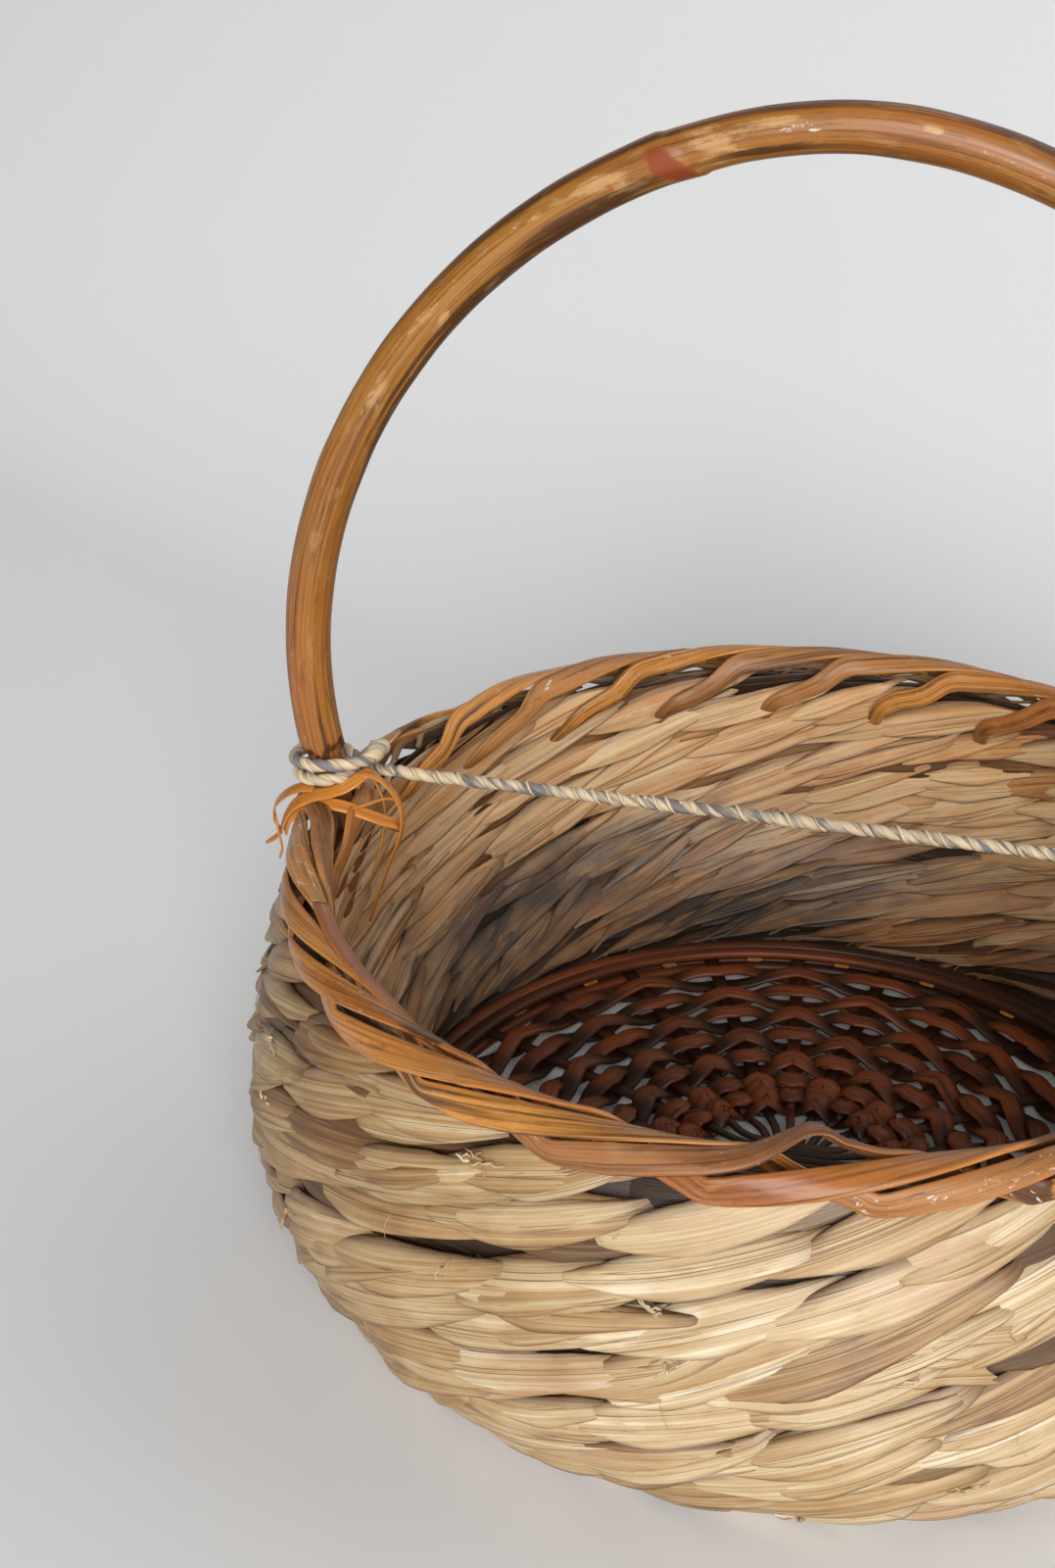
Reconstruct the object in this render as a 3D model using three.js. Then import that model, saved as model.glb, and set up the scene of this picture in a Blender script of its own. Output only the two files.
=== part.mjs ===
// Round hand basket: a cane base and cane stakes, a wall twined from dried leaf, a rolled border made
// of the stakes' tails, and a fixed hoop handle with a cord tied across it.
// Millimetres, +Z up. The handle stands in the XZ plane and the basket rests on Z = 0.
import * as THREE from 'three';

// Counts
const PLACES = 24; // places round the wall, each held by a stake or by a handle end
const HANDLE_PLACES = [0, PLACES / 2];
const WALL_ROWS = 9;
const BASE_WEAVERS = 6;
const STICKS_EACH_WAY = PLACES / 4;

// Fits
const CLEARANCE = 0.3; // between pieces that touch
const ROW_GAP = 0.4; // between one row of leaf and the next

// Base
const FOOT_HOOP_HEIGHT = 4.6;
const EDGE_HOOP_HEIGHT = 3.6;
const HOOP_WIDTH = 11;
const HOOP_OUTER_RADIUS = 142.5;
const STICK_WIDTH = 3;
const STICK_THICKNESS = 2;
const STICK_SPACING = 4; // side by side where the sticks cross
const CROSS_HALF_LENGTH = 14;
const FAN_RADIUS = 33; // where the sticks have fanned out
const LEVEL_RADIUS = 38; // where both layers of sticks lie level
const BASE_WEAVER_WIDTH = 3.2;
const BASE_WEAVER_THICKNESS = 2;
const WEAVER_SLOPE_SHARE = 0.1; // of a weaver's thickness, extra room where it slopes down past a stick
const FIRST_WEAVER_RADIUS = 46;
const LAST_WEAVER_INSET = 10.5; // of the last weaver's middle from the hoops' inner edge

// Stakes
const STAKE_WIDTH = 5;
const STAKE_THICKNESS = 2.2;
const STAKE_FOOT_LENGTH = 10.5;

// Wall of twined leaf
const LEAF_THICKNESS = 3.2;
const HOOP_TO_WALL = 1.3;
const BELLY_RADIUS = 177.3; // all wall radii are those of the stakes' centre line
const BELLY_HEIGHT = 52;
const MOUTH_RADIUS = 162.2;
const WALL_TOP = 119.7;

// Rolled border
const BORDER_RADIUS = 6.6; // of the half round that the tails lie on
const TAIL_WIDTH = 5.4;
const TAIL_THICKNESS = 2.4;
const TAIL_PLACES = 3; // how many places each tail runs past
const BORDER_RISE = 3.2; // centre of the half round above the wall's top
const HANDLE_SPREAD = 2.3; // how far the tails part round a handle end
const HANDLE_SPREAD_REACH = 0.35; // of a place, how far round the border they are parted

// Handle
const HANDLE_DIAMETER = 14.7;
const HANDLE_OVERHANG = 7.8; // how far out past the mouth the handle's centre line is where it is widest
const HANDLE_SPRING_HEIGHT = 181.6; // where the arch is widest
const HANDLE_RISE = 177;
const HANDLE_EXPONENT = 1.884; // 2 is a true ellipse
const LEG_BOTTOM = 135;
const LEG_INSET = 6.6; // how far a leg leans in at its bottom
const TENON_THICKNESS = 3.4;
const TENON_WIDTH = 7;
const TENON_SHOULDER = 2;
const TENON_ROWS = 6; // rows of leaf that each handle end goes down through
const TENON_TIP_SHARE = 0.6;

// Cord tied across the handle
const CORD_DIAMETER = 4.6;
const CORD_TOP = 146.2;
const CORD_PITCH = 5.4;
const CORD_TURNS = 1.75;
const CORD_BIGHT = 17.6; // reach of the first half loop towards the basket's middle
const CORD_LEG_GAP = 0.5;
const CORD_STUB_DIAMETERS = 1.5; // length of the short end
const CORD_OUT = 32; // how far in from the leg's side the cord is free of its loops
const CORD_OUT_SIDE = 9.2; // how far it leans across on the way, to pass beside the leg
const CORD_MIDDLE_HEIGHT = 141.3;
const STEPS_PER_LOOP = 24;
const CORD_SIDES = 6;

// Split cane lashing over the border at each handle end
const LASHING_WIDTH = 5;
const LASHING_THICKNESS = 0.9;
const LASHING_OFFSET = 7.8; // of each crossing from the middle of the handle
const LASHING_LOOP_HEIGHT = 96;
const LASHING_LOOP_RADIUS = 150.4;

// Values worked out from the sizes above
const PLACE_ANGLE = (2 * Math.PI) / PLACES;
const LAYER_HEIGHT = FOOT_HOOP_HEIGHT + CLEARANCE + STAKE_THICKNESS / 2;
const WALL_FOOT_RADIUS = HOOP_OUTER_RADIUS + HOOP_TO_WALL;
const BORDER_HEIGHT = WALL_TOP + BORDER_RISE;
const HOOP_MIDDLE_RADIUS = HOOP_OUTER_RADIUS - HOOP_WIDTH / 2;
const LAST_WEAVER_RADIUS = HOOP_OUTER_RADIUS - HOOP_WIDTH - LAST_WEAVER_INSET;
const HANDLE_HALF_SPAN = MOUTH_RADIUS + HANDLE_OVERHANG;
const UP = new THREE.Vector3(0, 0, 1);

const handleCane = new THREE.MeshStandardMaterial({ color: 0xb0712b, roughness: 0.35, metalness: 0 });
const stakeCane = new THREE.MeshStandardMaterial({ color: 0xa5612a, roughness: 0.45, metalness: 0 });
const baseCane = new THREE.MeshStandardMaterial({ color: 0x6f3d20, roughness: 0.6, metalness: 0 });
const driedLeaf = new THREE.MeshStandardMaterial({ color: 0xcaa878, roughness: 0.7, metalness: 0 });
const twistedCord = new THREE.MeshStandardMaterial({ color: 0xb9a27c, roughness: 0.8, metalness: 0 });
const splitCane = new THREE.MeshStandardMaterial({ color: 0xd08a36, roughness: 0.4, metalness: 0 });

const basket = new THREE.Group();

function addPiece(name, geometry, material, angle = 0) {
  const mesh = new THREE.Mesh(geometry, material);
  mesh.name = name;
  mesh.rotation.z = angle;
  basket.add(mesh);
}

// A point at a radius, an angle round the basket and a height
function polar(radius, angle, height) {
  return new THREE.Vector3(radius * Math.cos(angle), radius * Math.sin(angle), height);
}

// Sections are lists of [along the normal, across it], in order round the piece
function rectangle(thickness, width) {
  const n = thickness / 2;
  const b = width / 2;
  return [[n, b], [-n, b], [-n, -b], [n, -b]];
}

function oval(thickness, width, sides) {
  return Array.from({ length: sides }, (_, k) => {
    const turn = (2 * Math.PI * (k + 0.5)) / sides;
    return [(Math.cos(turn) * thickness) / 2, (Math.sin(turn) * width) / 2];
  });
}

// One closed solid through a list of stations, each with a point, a normal and a section
function sweep(stations, closed = false) {
  const count = stations.length;
  const sides = stations[0].section.length;
  const positions = [];
  const index = [];
  for (let i = 0; i < count; i++) {
    const before = closed ? stations[(i + count - 1) % count] : stations[Math.max(i - 1, 0)];
    const after = closed ? stations[(i + 1) % count] : stations[Math.min(i + 1, count - 1)];
    const along = after.point.clone().sub(before.point).normalize();
    const normal = stations[i].normal.clone();
    normal.addScaledVector(along, -normal.dot(along)).normalize();
    const across = along.clone().cross(normal);
    for (const [n, b] of stations[i].section) {
      const corner = stations[i].point.clone().addScaledVector(normal, n).addScaledVector(across, b);
      positions.push(corner.x, corner.y, corner.z);
    }
  }
  const bands = closed ? count : count - 1;
  for (let i = 0; i < bands; i++) {
    const here = i * sides;
    const next = ((i + 1) % count) * sides;
    for (let k = 0; k < sides; k++) {
      const l = (k + 1) % sides;
      index.push(here + k, here + l, next + l, here + k, next + l, next + k);
    }
  }
  if (!closed) {
    const last = (count - 1) * sides;
    for (let k = 1; k < sides - 1; k++) {
      index.push(0, k + 1, k, last, last + k, last + k + 1);
    }
  }
  const geometry = new THREE.BufferGeometry();
  geometry.setAttribute('position', new THREE.Float32BufferAttribute(positions, 3));
  geometry.setIndex(index);
  geometry.computeVertexNormals();
  return geometry;
}

// Wall profile: a quarter ellipse from the base out to the belly, then a parabola in to the mouth.
// It is a curve of [radius, 0, height] with its length measured along the wall.
function wallProfile() {
  const points = [];
  const steps = 12;
  for (let i = 0; i < steps; i++) {
    const turn = (Math.PI / 2) * (i / steps);
    const radius = WALL_FOOT_RADIUS + (BELLY_RADIUS - WALL_FOOT_RADIUS) * Math.sin(turn);
    const height = LAYER_HEIGHT + (BELLY_HEIGHT - LAYER_HEIGHT) * (1 - Math.cos(turn));
    points.push(new THREE.Vector3(radius, 0, height));
  }
  for (let i = 0; i <= steps; i++) {
    const share = i / steps;
    const radius = BELLY_RADIUS - (BELLY_RADIUS - MOUTH_RADIUS) * share * share;
    const height = BELLY_HEIGHT + (WALL_TOP - BELLY_HEIGHT) * share;
    points.push(new THREE.Vector3(radius, 0, height));
  }
  return new THREE.CatmullRomCurve3(points);
}
const profile = wallProfile();
const wallLength = profile.getLength();

// The wall's middle at a share of its length, with its normal pointing out of the basket
function wallAt(share) {
  const point = profile.getPointAt(share);
  const along = profile.getTangentAt(share);
  return { radius: point.x, height: point.z, outR: along.z, outZ: -along.x };
}

// How far a leaf strand stands off the wall's middle where it passes a stake or a handle end
function strandOffset(thickness, width, radius) {
  const halfPlace = (radius * PLACE_ANGLE) / 2;
  return (LEAF_THICKNESS / 2 + thickness / 2 + CLEARANCE) / (1 - width / 2 / halfPlace);
}

// One row: two strands of leaf that pass each side of a stake and cross before the next, as one ring
// with a slot for each place. Each place has eight corners, on a lower and an upper layer.
function wallRow(row) {
  const from = row / WALL_ROWS + ROW_GAP / 2 / wallLength;
  const to = (row + 1) / WALL_ROWS - ROW_GAP / 2 / wallLength;
  const layers = [wallAt(from), wallAt(to)];
  const radius = Math.min(layers[0].radius, layers[1].radius);
  const half = LEAF_THICKNESS / 2;
  const hasTenon = row >= WALL_ROWS - TENON_ROWS;
  const positions = [];
  for (const wall of layers) {
    for (let place = 0; place < PLACES; place++) {
      const tenon = hasTenon && HANDLE_PLACES.includes(place);
      const offset = tenon
        ? strandOffset(TENON_THICKNESS, TENON_WIDTH, radius)
        : strandOffset(STAKE_THICKNESS, STAKE_WIDTH, radius);
      const tip = 0.5 * (1 - half / offset);
      // Each corner is its share of a place round the wall and its distance from the wall's middle
      const corners = {
        outside: [0, offset + half],
        slotOutside: [0, offset - half],
        slotInside: [0, half - offset],
        inside: [0, -offset - half],
        slotStart: [-tip, 0],
        slotEnd: [tip, 0],
        crossOutside: [0.5, half],
        crossInside: [0.5, -half],
      };
      for (const [share, away] of Object.values(corners)) {
        const angle = (place + share) * PLACE_ANGLE;
        const point = polar(wall.radius + wall.outR * away, angle, wall.height + wall.outZ * away);
        positions.push(point.x, point.y, point.z);
      }
    }
  }
  const index = [];
  for (let place = 0; place < PLACES; place++) {
    const here = 8 * place;
    const next = 8 * ((place + 1) % PLACES);
    const [O, H, h, I, L, R, C, c] = [0, 1, 2, 3, 4, 5, 6, 7].map((corner) => here + corner);
    const [nextO, nextH, nexth, nextI, nextL] = [0, 1, 2, 3, 4].map((corner) => next + corner);
    const upper = 8 * PLACES;
    const faces = [
      [O, C, R, H], [I, h, R, c], [R, C, nextL, c], [C, nextO, nextH, nextL], [c, nextL, nexth, nextI],
    ];
    for (const [p, q, r, s] of faces) {
      index.push(p + upper, q + upper, r + upper, p + upper, r + upper, s + upper);
      index.push(p, r, q, p, s, r);
    }
    const edges = [[O, C], [C, nextO], [nextI, c], [c, I], [R, H], [H, L], [L, h], [h, R]];
    for (const [p, q] of edges) {
      index.push(p, q, q + upper, p, q + upper, p + upper);
    }
  }
  const geometry = new THREE.BufferGeometry();
  geometry.setAttribute('position', new THREE.Float32BufferAttribute(positions, 3));
  geometry.setIndex(index);
  geometry.computeVertexNormals();
  return geometry;
}

function addWall() {
  for (let row = 0; row < WALL_ROWS; row++) {
    addPiece(`wall_row_${row + 1}`, wallRow(row), driedLeaf);
  }
}

// Hoops of the base: the foot hoop stands on the floor, the edge hoop lies on the sticks
function hoop(bottom, height) {
  const section = rectangle(height, HOOP_WIDTH);
  const stations = Array.from({ length: 2 * PLACES }, (_, i) => ({
    point: polar(HOOP_MIDDLE_RADIUS, (i * PLACE_ANGLE) / 2, bottom + height / 2),
    normal: UP,
    section,
  }));
  return sweep(stations, true);
}

// A base stick: side by side with its neighbours in the middle, one layer over the other way's
// sticks, then fanned out to its own place between two stakes
function baseStick(rank, layerSign) {
  const angle = (rank + 0.5 - STICKS_EACH_WAY / 2) * PLACE_ANGLE;
  const offset = (rank + 0.5 - STICKS_EACH_WAY / 2) * STICK_SPACING;
  const layer = LAYER_HEIGHT + (layerSign * (STICK_THICKNESS + CLEARANCE)) / 2;
  const endRadius = HOOP_OUTER_RADIUS - CLEARANCE;
  const half = [
    new THREE.Vector3(CROSS_HALF_LENGTH, offset, layer),
    polar(FAN_RADIUS, angle, layer),
    polar(LEVEL_RADIUS, angle, LAYER_HEIGHT),
    polar(endRadius, angle, LAYER_HEIGHT),
  ];
  const otherHalf = half.map((p) => new THREE.Vector3(-p.x, p.y, p.z)).reverse();
  const section = rectangle(STICK_THICKNESS, STICK_WIDTH);
  return sweep([...otherHalf, ...half].map((point) => ({ point, normal: UP, section })));
}

// A base weaver: over one stick and under the next
function baseWeaver(ring) {
  const spacing = (LAST_WEAVER_RADIUS - FIRST_WEAVER_RADIUS) / (BASE_WEAVERS - 1);
  const radius = FIRST_WEAVER_RADIUS + ring * spacing;
  const halfPlace = (radius * PLACE_ANGLE) / 2;
  const lift = STICK_THICKNESS / 2 + BASE_WEAVER_THICKNESS * (0.5 + WEAVER_SLOPE_SHARE) + CLEARANCE;
  const wave = lift / (1 - STICK_WIDTH / 2 / halfPlace);
  const section = rectangle(BASE_WEAVER_THICKNESS, BASE_WEAVER_WIDTH);
  const stations = [];
  for (let i = 0; i < 2 * PLACES; i++) {
    const atStick = i % 2 === 1;
    const over = ((i - 1) / 2 + ring) % 2 === 0 ? 1 : -1;
    const height = LAYER_HEIGHT + (atStick ? over * wave : 0);
    stations.push({ point: polar(radius, (i * PLACE_ANGLE) / 2, height), normal: UP, section });
  }
  return sweep(stations, true);
}

function addBase() {
  addPiece('foot_hoop', hoop(0, FOOT_HOOP_HEIGHT), baseCane);
  const edgeBottom = LAYER_HEIGHT + STAKE_THICKNESS / 2 + CLEARANCE;
  addPiece('base_edge_hoop', hoop(edgeBottom, EDGE_HOOP_HEIGHT), baseCane);
  for (let rank = 0; rank < STICKS_EACH_WAY; rank++) {
    addPiece(`base_stick_${rank + 1}`, baseStick(rank, 1), baseCane);
    addPiece(`base_stick_${rank + 1 + STICKS_EACH_WAY}`, baseStick(rank, -1), baseCane, Math.PI / 2);
  }
  for (let ring = 0; ring < BASE_WEAVERS; ring++) {
    addPiece(`base_weaver_${ring + 1}`, baseWeaver(ring), baseCane);
  }
}

// How far a tail is pushed aside at an angle round the basket, to let a handle end through
function spreadAt(angle) {
  return HANDLE_PLACES.reduce((sum, place) => {
    const turned = angle - place * PLACE_ANGLE;
    const away = Math.atan2(Math.sin(turned), Math.cos(turned));
    return sum + HANDLE_SPREAD * Math.exp(-((away / (PLACE_ANGLE * HANDLE_SPREAD_REACH)) ** 2));
  }, 0);
}

// A station of a stake's tail, by how many places it has run and by its place in the border's section
function tailStation(stakeAngle, places, inward, rise, normal, section) {
  const angle = -places * PLACE_ANGLE;
  const pushed = inward + Math.sign(inward) * spreadAt(stakeAngle + angle);
  const point = polar(MOUTH_RADIUS + pushed, angle, BORDER_HEIGHT + rise);
  const outward = polar(normal[0], angle, normal[1]);
  return { point, normal: outward, section };
}

// A stake: its foot lies between the hoops, it goes up the wall between the two strands of each row,
// and its tail turns aside and is rolled over the border from the inside to the outside
function stake(place) {
  const stakeAngle = place * PLACE_ANGLE;
  const wallSection = rectangle(STAKE_THICKNESS, STAKE_WIDTH);
  const stations = [{
    point: polar(WALL_FOOT_RADIUS - STAKE_FOOT_LENGTH, 0, LAYER_HEIGHT),
    normal: new THREE.Vector3(0, 0, -1),
    section: wallSection,
  }];
  for (let row = 0; row <= WALL_ROWS; row++) {
    const wall = wallAt(row / WALL_ROWS);
    stations.push({
      point: polar(wall.radius, 0, wall.height),
      normal: polar(wall.outR, 0, wall.outZ),
      section: wallSection,
    });
  }
  // The turn out of the wall, as [places run, radius off the border's centre, height, normal]
  const turn = [
    [0.02, -0.14, -0.2, [1, 0.15]],
    [0.09, -0.46, 0.05, [1, 0]],
    [0.2, -0.86, 0.19, [1, -0.2]],
  ];
  for (const [places, inward, rise, normal] of turn) {
    stations.push(
      tailStation(stakeAngle, places, inward * BORDER_RADIUS, rise * BORDER_RADIUS, normal, wallSection),
    );
  }
  const tailSection = rectangle(TAIL_THICKNESS, TAIL_WIDTH);
  const steps = 3 * TAIL_PLACES;
  for (let i = 1; i <= steps; i++) {
    const share = i / steps;
    const roll = Math.PI * (1 - share);
    const inward = BORDER_RADIUS * Math.cos(roll);
    const rise = BORDER_RADIUS * Math.sin(roll);
    const normal = [-Math.cos(roll), -Math.sin(roll)];
    stations.push(tailStation(stakeAngle, share * TAIL_PLACES, inward, rise, normal, tailSection));
  }
  return sweep(stations);
}

function addStakes() {
  for (let place = 0; place < PLACES; place++) {
    if (!HANDLE_PLACES.includes(place)) {
      addPiece(`stake_${String(place).padStart(2, '0')}`, stake(place), stakeCane, place * PLACE_ANGLE);
    }
  }
}

// Distance of a leg's centre line from the middle of the basket, below the arch
function legRadius(height) {
  const share = (HANDLE_SPRING_HEIGHT - height) / (HANDLE_SPRING_HEIGHT - LEG_BOTTOM);
  return HANDLE_HALF_SPAN - LEG_INSET * share * share;
}

// Half of the handle, from the top of the arch to the tip of the tenon, as points and sections
function handleHalf() {
  const sides = 12;
  const round = oval(HANDLE_DIAMETER, HANDLE_DIAMETER, sides);
  const tenon = oval(TENON_THICKNESS, TENON_WIDTH, sides);
  const half = [];
  const archSteps = 14;
  for (let i = 0; i <= archSteps; i++) {
    const turn = (Math.PI / 2) * (i / archSteps);
    const x = HANDLE_HALF_SPAN * Math.sin(turn) ** (2 / HANDLE_EXPONENT);
    const rise = HANDLE_RISE * Math.max(Math.cos(turn), 0) ** (2 / HANDLE_EXPONENT);
    half.push({ point: new THREE.Vector3(x, 0, HANDLE_SPRING_HEIGHT + rise), section: round });
  }
  const legSteps = 4;
  for (let i = 1; i <= legSteps; i++) {
    const height = HANDLE_SPRING_HEIGHT + (LEG_BOTTOM - HANDLE_SPRING_HEIGHT) * (i / legSteps);
    half.push({ point: new THREE.Vector3(legRadius(height), 0, height), section: round });
  }
  half.push({ point: new THREE.Vector3(MOUTH_RADIUS, 0, LEG_BOTTOM - TENON_SHOULDER), section: tenon });
  for (let row = WALL_ROWS; row >= WALL_ROWS - TENON_ROWS; row--) {
    const wall = wallAt(row / WALL_ROWS);
    const tip = row === WALL_ROWS - TENON_ROWS;
    const share = tip ? TENON_TIP_SHARE : 1;
    half.push({
      point: new THREE.Vector3(wall.radius, 0, wall.height),
      section: oval(TENON_THICKNESS * share, TENON_WIDTH * share, sides),
    });
  }
  return half;
}

function addHandle() {
  const half = handleHalf();
  const left = half.slice(1).reverse().map(({ point, section }) => ({
    point: new THREE.Vector3(-point.x, 0, point.z),
    section,
  }));
  const path = [...left, ...half];
  const side = new THREE.Vector3(0, -1, 0);
  const stations = path.map(({ point, section }, i) => {
    const before = path[Math.max(i - 1, 0)].point;
    const after = path[Math.min(i + 1, path.length - 1)].point;
    const along = after.clone().sub(before).normalize();
    return { point, normal: side.clone().cross(along), section };
  });
  addPiece('handle_bow', sweep(stations), handleCane);
}

// The cord's route at the right-hand leg, from its short end down round the leg and out to the
// stretch across the basket. The first half loop reaches inwards as a bight over that stretch.
function cordEnd() {
  const reach = HANDLE_DIAMETER / 2 + CORD_LEG_GAP + CORD_DIAMETER / 2;
  const points = [];
  const loopPoint = (turns) => {
    const turn = 2 * Math.PI * turns;
    const height = CORD_TOP - CORD_PITCH * turns;
    const inside = Math.cos(turn) > 0 && turns < 0.5 ? CORD_BIGHT : reach;
    return new THREE.Vector3(
      legRadius(height) - inside * Math.cos(turn),
      reach * Math.sin(turn),
      height,
    );
  };
  const steps = Math.round(CORD_TURNS * STEPS_PER_LOOP);
  const start = loopPoint(0);
  points.push(start.clone().add(new THREE.Vector3(0, -CORD_STUB_DIAMETERS * CORD_DIAMETER, 0)), start);
  for (let i = 1; i <= steps; i++) {
    points.push(loopPoint(i / STEPS_PER_LOOP));
  }
  const last = points[points.length - 1];
  const underBight = CORD_TOP - CORD_PITCH;
  // The way out under the bight, as shares of CORD_OUT inwards, of CORD_OUT_SIDE across, and of the
  // climb from the last loop to the bight's underside
  const wayOut = [[0.25, 0.185, -0.02], [0.41, 0.48, 0.27], [0.56, 0.78, 0.63], [0.75, 1, 0.97]];
  for (const [inward, across, climb] of wayOut) {
    const height = last.z + climb * (underBight - last.z);
    points.push(new THREE.Vector3(last.x - inward * CORD_OUT, last.y + across * CORD_OUT_SIDE, height));
  }
  points.push(new THREE.Vector3(last.x - CORD_OUT, 0, underBight));
  return points;
}

// Least gap between parts of the cord that are more than two diameters apart along it
function leastGap(points) {
  const along = [0];
  for (let i = 1; i < points.length; i++) {
    along.push(along[i - 1] + points[i].distanceTo(points[i - 1]));
  }
  let least = Infinity;
  for (let i = 0; i < points.length; i++) {
    for (let j = i + 1; j < points.length; j++) {
      if (along[j] - along[i] > 2 * CORD_DIAMETER) {
        least = Math.min(least, points[i].distanceTo(points[j]) - CORD_DIAMETER);
      }
    }
  }
  return least;
}

function addCord() {
  const right = cordEnd();
  const left = right.map((p) => new THREE.Vector3(-p.x, -p.y, p.z)).reverse();
  const across = [0.5, 0, -0.5].map((share) => {
    const end = right[right.length - 1];
    return new THREE.Vector3(share * end.x, 0, CORD_MIDDLE_HEIGHT + (end.z - CORD_MIDDLE_HEIGHT) * share * share);
  });
  const route = [...right, ...across, ...left];
  const fine = new THREE.CatmullRomCurve3(route, false, 'centripetal').getSpacedPoints(1200);
  console.log(`tie_cord: least gap to itself ${leastGap(fine).toFixed(2)} mm`);
  console.log(`tie_cord: length ${new THREE.CatmullRomCurve3(route).getLength().toFixed(0)} mm`);
  const section = oval(CORD_DIAMETER, CORD_DIAMETER, CORD_SIDES);
  addPiece('tie_cord', sweep(route.map((point) => ({ point, normal: UP, section }))), twistedCord);
}

// A lashing, drawn for the right-hand handle end: a strip of split cane that goes over the border
// beside the leg, hangs in a loop inside, and comes back over the border on the leg's other side
function lashing() {
  const outside = MOUTH_RADIUS + BORDER_RADIUS + HANDLE_SPREAD + TAIL_THICKNESS;
  const top = BORDER_HEIGHT + BORDER_RADIUS + TAIL_THICKNESS / 2 + CLEARANCE + LASHING_THICKNESS;
  const inside = MOUTH_RADIUS - BORDER_RADIUS - TAIL_THICKNESS - CLEARANCE;
  // One side, as [radius, offset from the handle, height], from the middle of the loop to the free end
  const side = [
    [LASHING_LOOP_RADIUS, 0, LASHING_LOOP_HEIGHT],
    [LASHING_LOOP_RADIUS, 0.62 * LASHING_OFFSET, LASHING_LOOP_HEIGHT + 3.4],
    [LASHING_LOOP_RADIUS + 0.2, LASHING_OFFSET, LASHING_LOOP_HEIGHT + 12],
    [inside - 1.6, LASHING_OFFSET, BORDER_HEIGHT - 3],
    [inside - 1.2, LASHING_OFFSET, BORDER_HEIGHT + 4.5],
    [inside + 2.2, LASHING_OFFSET, BORDER_HEIGHT + 7.8],
    [MOUTH_RADIUS, LASHING_OFFSET, top],
    [outside - 3.6, LASHING_OFFSET, BORDER_HEIGHT + 7.2],
    [outside, LASHING_OFFSET, BORDER_HEIGHT + 2.6],
    [outside + 0.8, LASHING_OFFSET + 0.5, BORDER_HEIGHT - 4],
    [outside + 3.2, LASHING_OFFSET + 1.6, BORDER_HEIGHT - 11.5],
  ];
  const mirrored = side.slice(1).reverse().map(([radius, offset, height]) => [radius, -offset, height]);
  const route = [...mirrored, ...side].map(([x, y, z]) => new THREE.Vector3(x, y, z));
  const points = new THREE.CatmullRomCurve3(route, false, 'centripetal').getPoints(2 * (route.length - 1));
  const section = rectangle(LASHING_THICKNESS, LASHING_WIDTH);
  return sweep(points.map((point) => {
    const above = Math.max(0, point.z - BORDER_HEIGHT);
    return { point, normal: new THREE.Vector3(point.x - MOUTH_RADIUS, 0, 1.8 * above), section };
  }));
}

function addLashings() {
  addPiece('lashing_right', lashing(), splitCane);
  addPiece('lashing_left', lashing(), splitCane, Math.PI);
}

addBase();
addStakes();
addWall();
addHandle();
addCord();
addLashings();

export default basket;
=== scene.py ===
"""Round hand basket: a cane base, stakes and rolled border, a wall twined from dried leaf, a hoop handle
of one thick cane and a leaf cord tied across it. Metres, +Z up, the handle in the XZ plane."""

import math

import bpy
import numpy as np
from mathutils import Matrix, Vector


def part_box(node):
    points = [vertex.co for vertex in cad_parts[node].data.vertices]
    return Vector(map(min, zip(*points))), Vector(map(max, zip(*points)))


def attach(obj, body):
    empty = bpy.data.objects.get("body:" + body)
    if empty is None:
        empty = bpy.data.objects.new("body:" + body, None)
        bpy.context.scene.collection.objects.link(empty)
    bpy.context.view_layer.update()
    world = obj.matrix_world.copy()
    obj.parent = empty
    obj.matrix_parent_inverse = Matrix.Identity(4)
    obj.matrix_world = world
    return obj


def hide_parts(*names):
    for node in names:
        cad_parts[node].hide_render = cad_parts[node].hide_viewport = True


bl_info = {
    "name": "Round Hand Basket",
    "version": (1, 0, 0),
    "blender": (4, 5, 0),
    "location": "View3D > Sidebar > Basket",
    "description": "Builds a twined leaf basket with a cane border and handle",
    "category": "Object",
}

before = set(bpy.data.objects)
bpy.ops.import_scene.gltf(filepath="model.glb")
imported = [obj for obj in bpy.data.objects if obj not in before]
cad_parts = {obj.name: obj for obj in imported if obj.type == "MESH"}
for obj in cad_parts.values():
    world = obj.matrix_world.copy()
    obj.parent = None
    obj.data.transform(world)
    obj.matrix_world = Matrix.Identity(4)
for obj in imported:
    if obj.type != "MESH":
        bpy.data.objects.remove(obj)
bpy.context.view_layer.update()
MM = 0.001
UP = np.array([0, 0, 1.0])
BACK = np.array([0, 1.0, 0])

# Counts
PLACES = 24
HANDLE_PLACES = (0, PLACES // 2)
ROWS = 9
TENON_ROW = 3  # from this row up, counted from 0, leaf stands off over the handle's tenons
PLACE_ANGLE = 2 * math.pi / PLACES
BROKEN_ENDS = 4  # in each row
HAIRS = 80
TUFTS = 34
CORD_FIBRES = 26
CANE_SIDES = 18
HANDLE_SIDES = 44

# Seeds of the random numbers, to which a row, stake, stick or ring adds its own number
HANDLE_SEED = 7
HOOP_SEED = 11
CORD_SEED = 23
FIBRE_SEED = 41
SIDE_CANE_SEED = 44
LASHING_SEED = 61
ROW_SEED = 100
STAKE_SEED = 300
STICK_SEED = 500
WEAVER_SEED = 600

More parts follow.
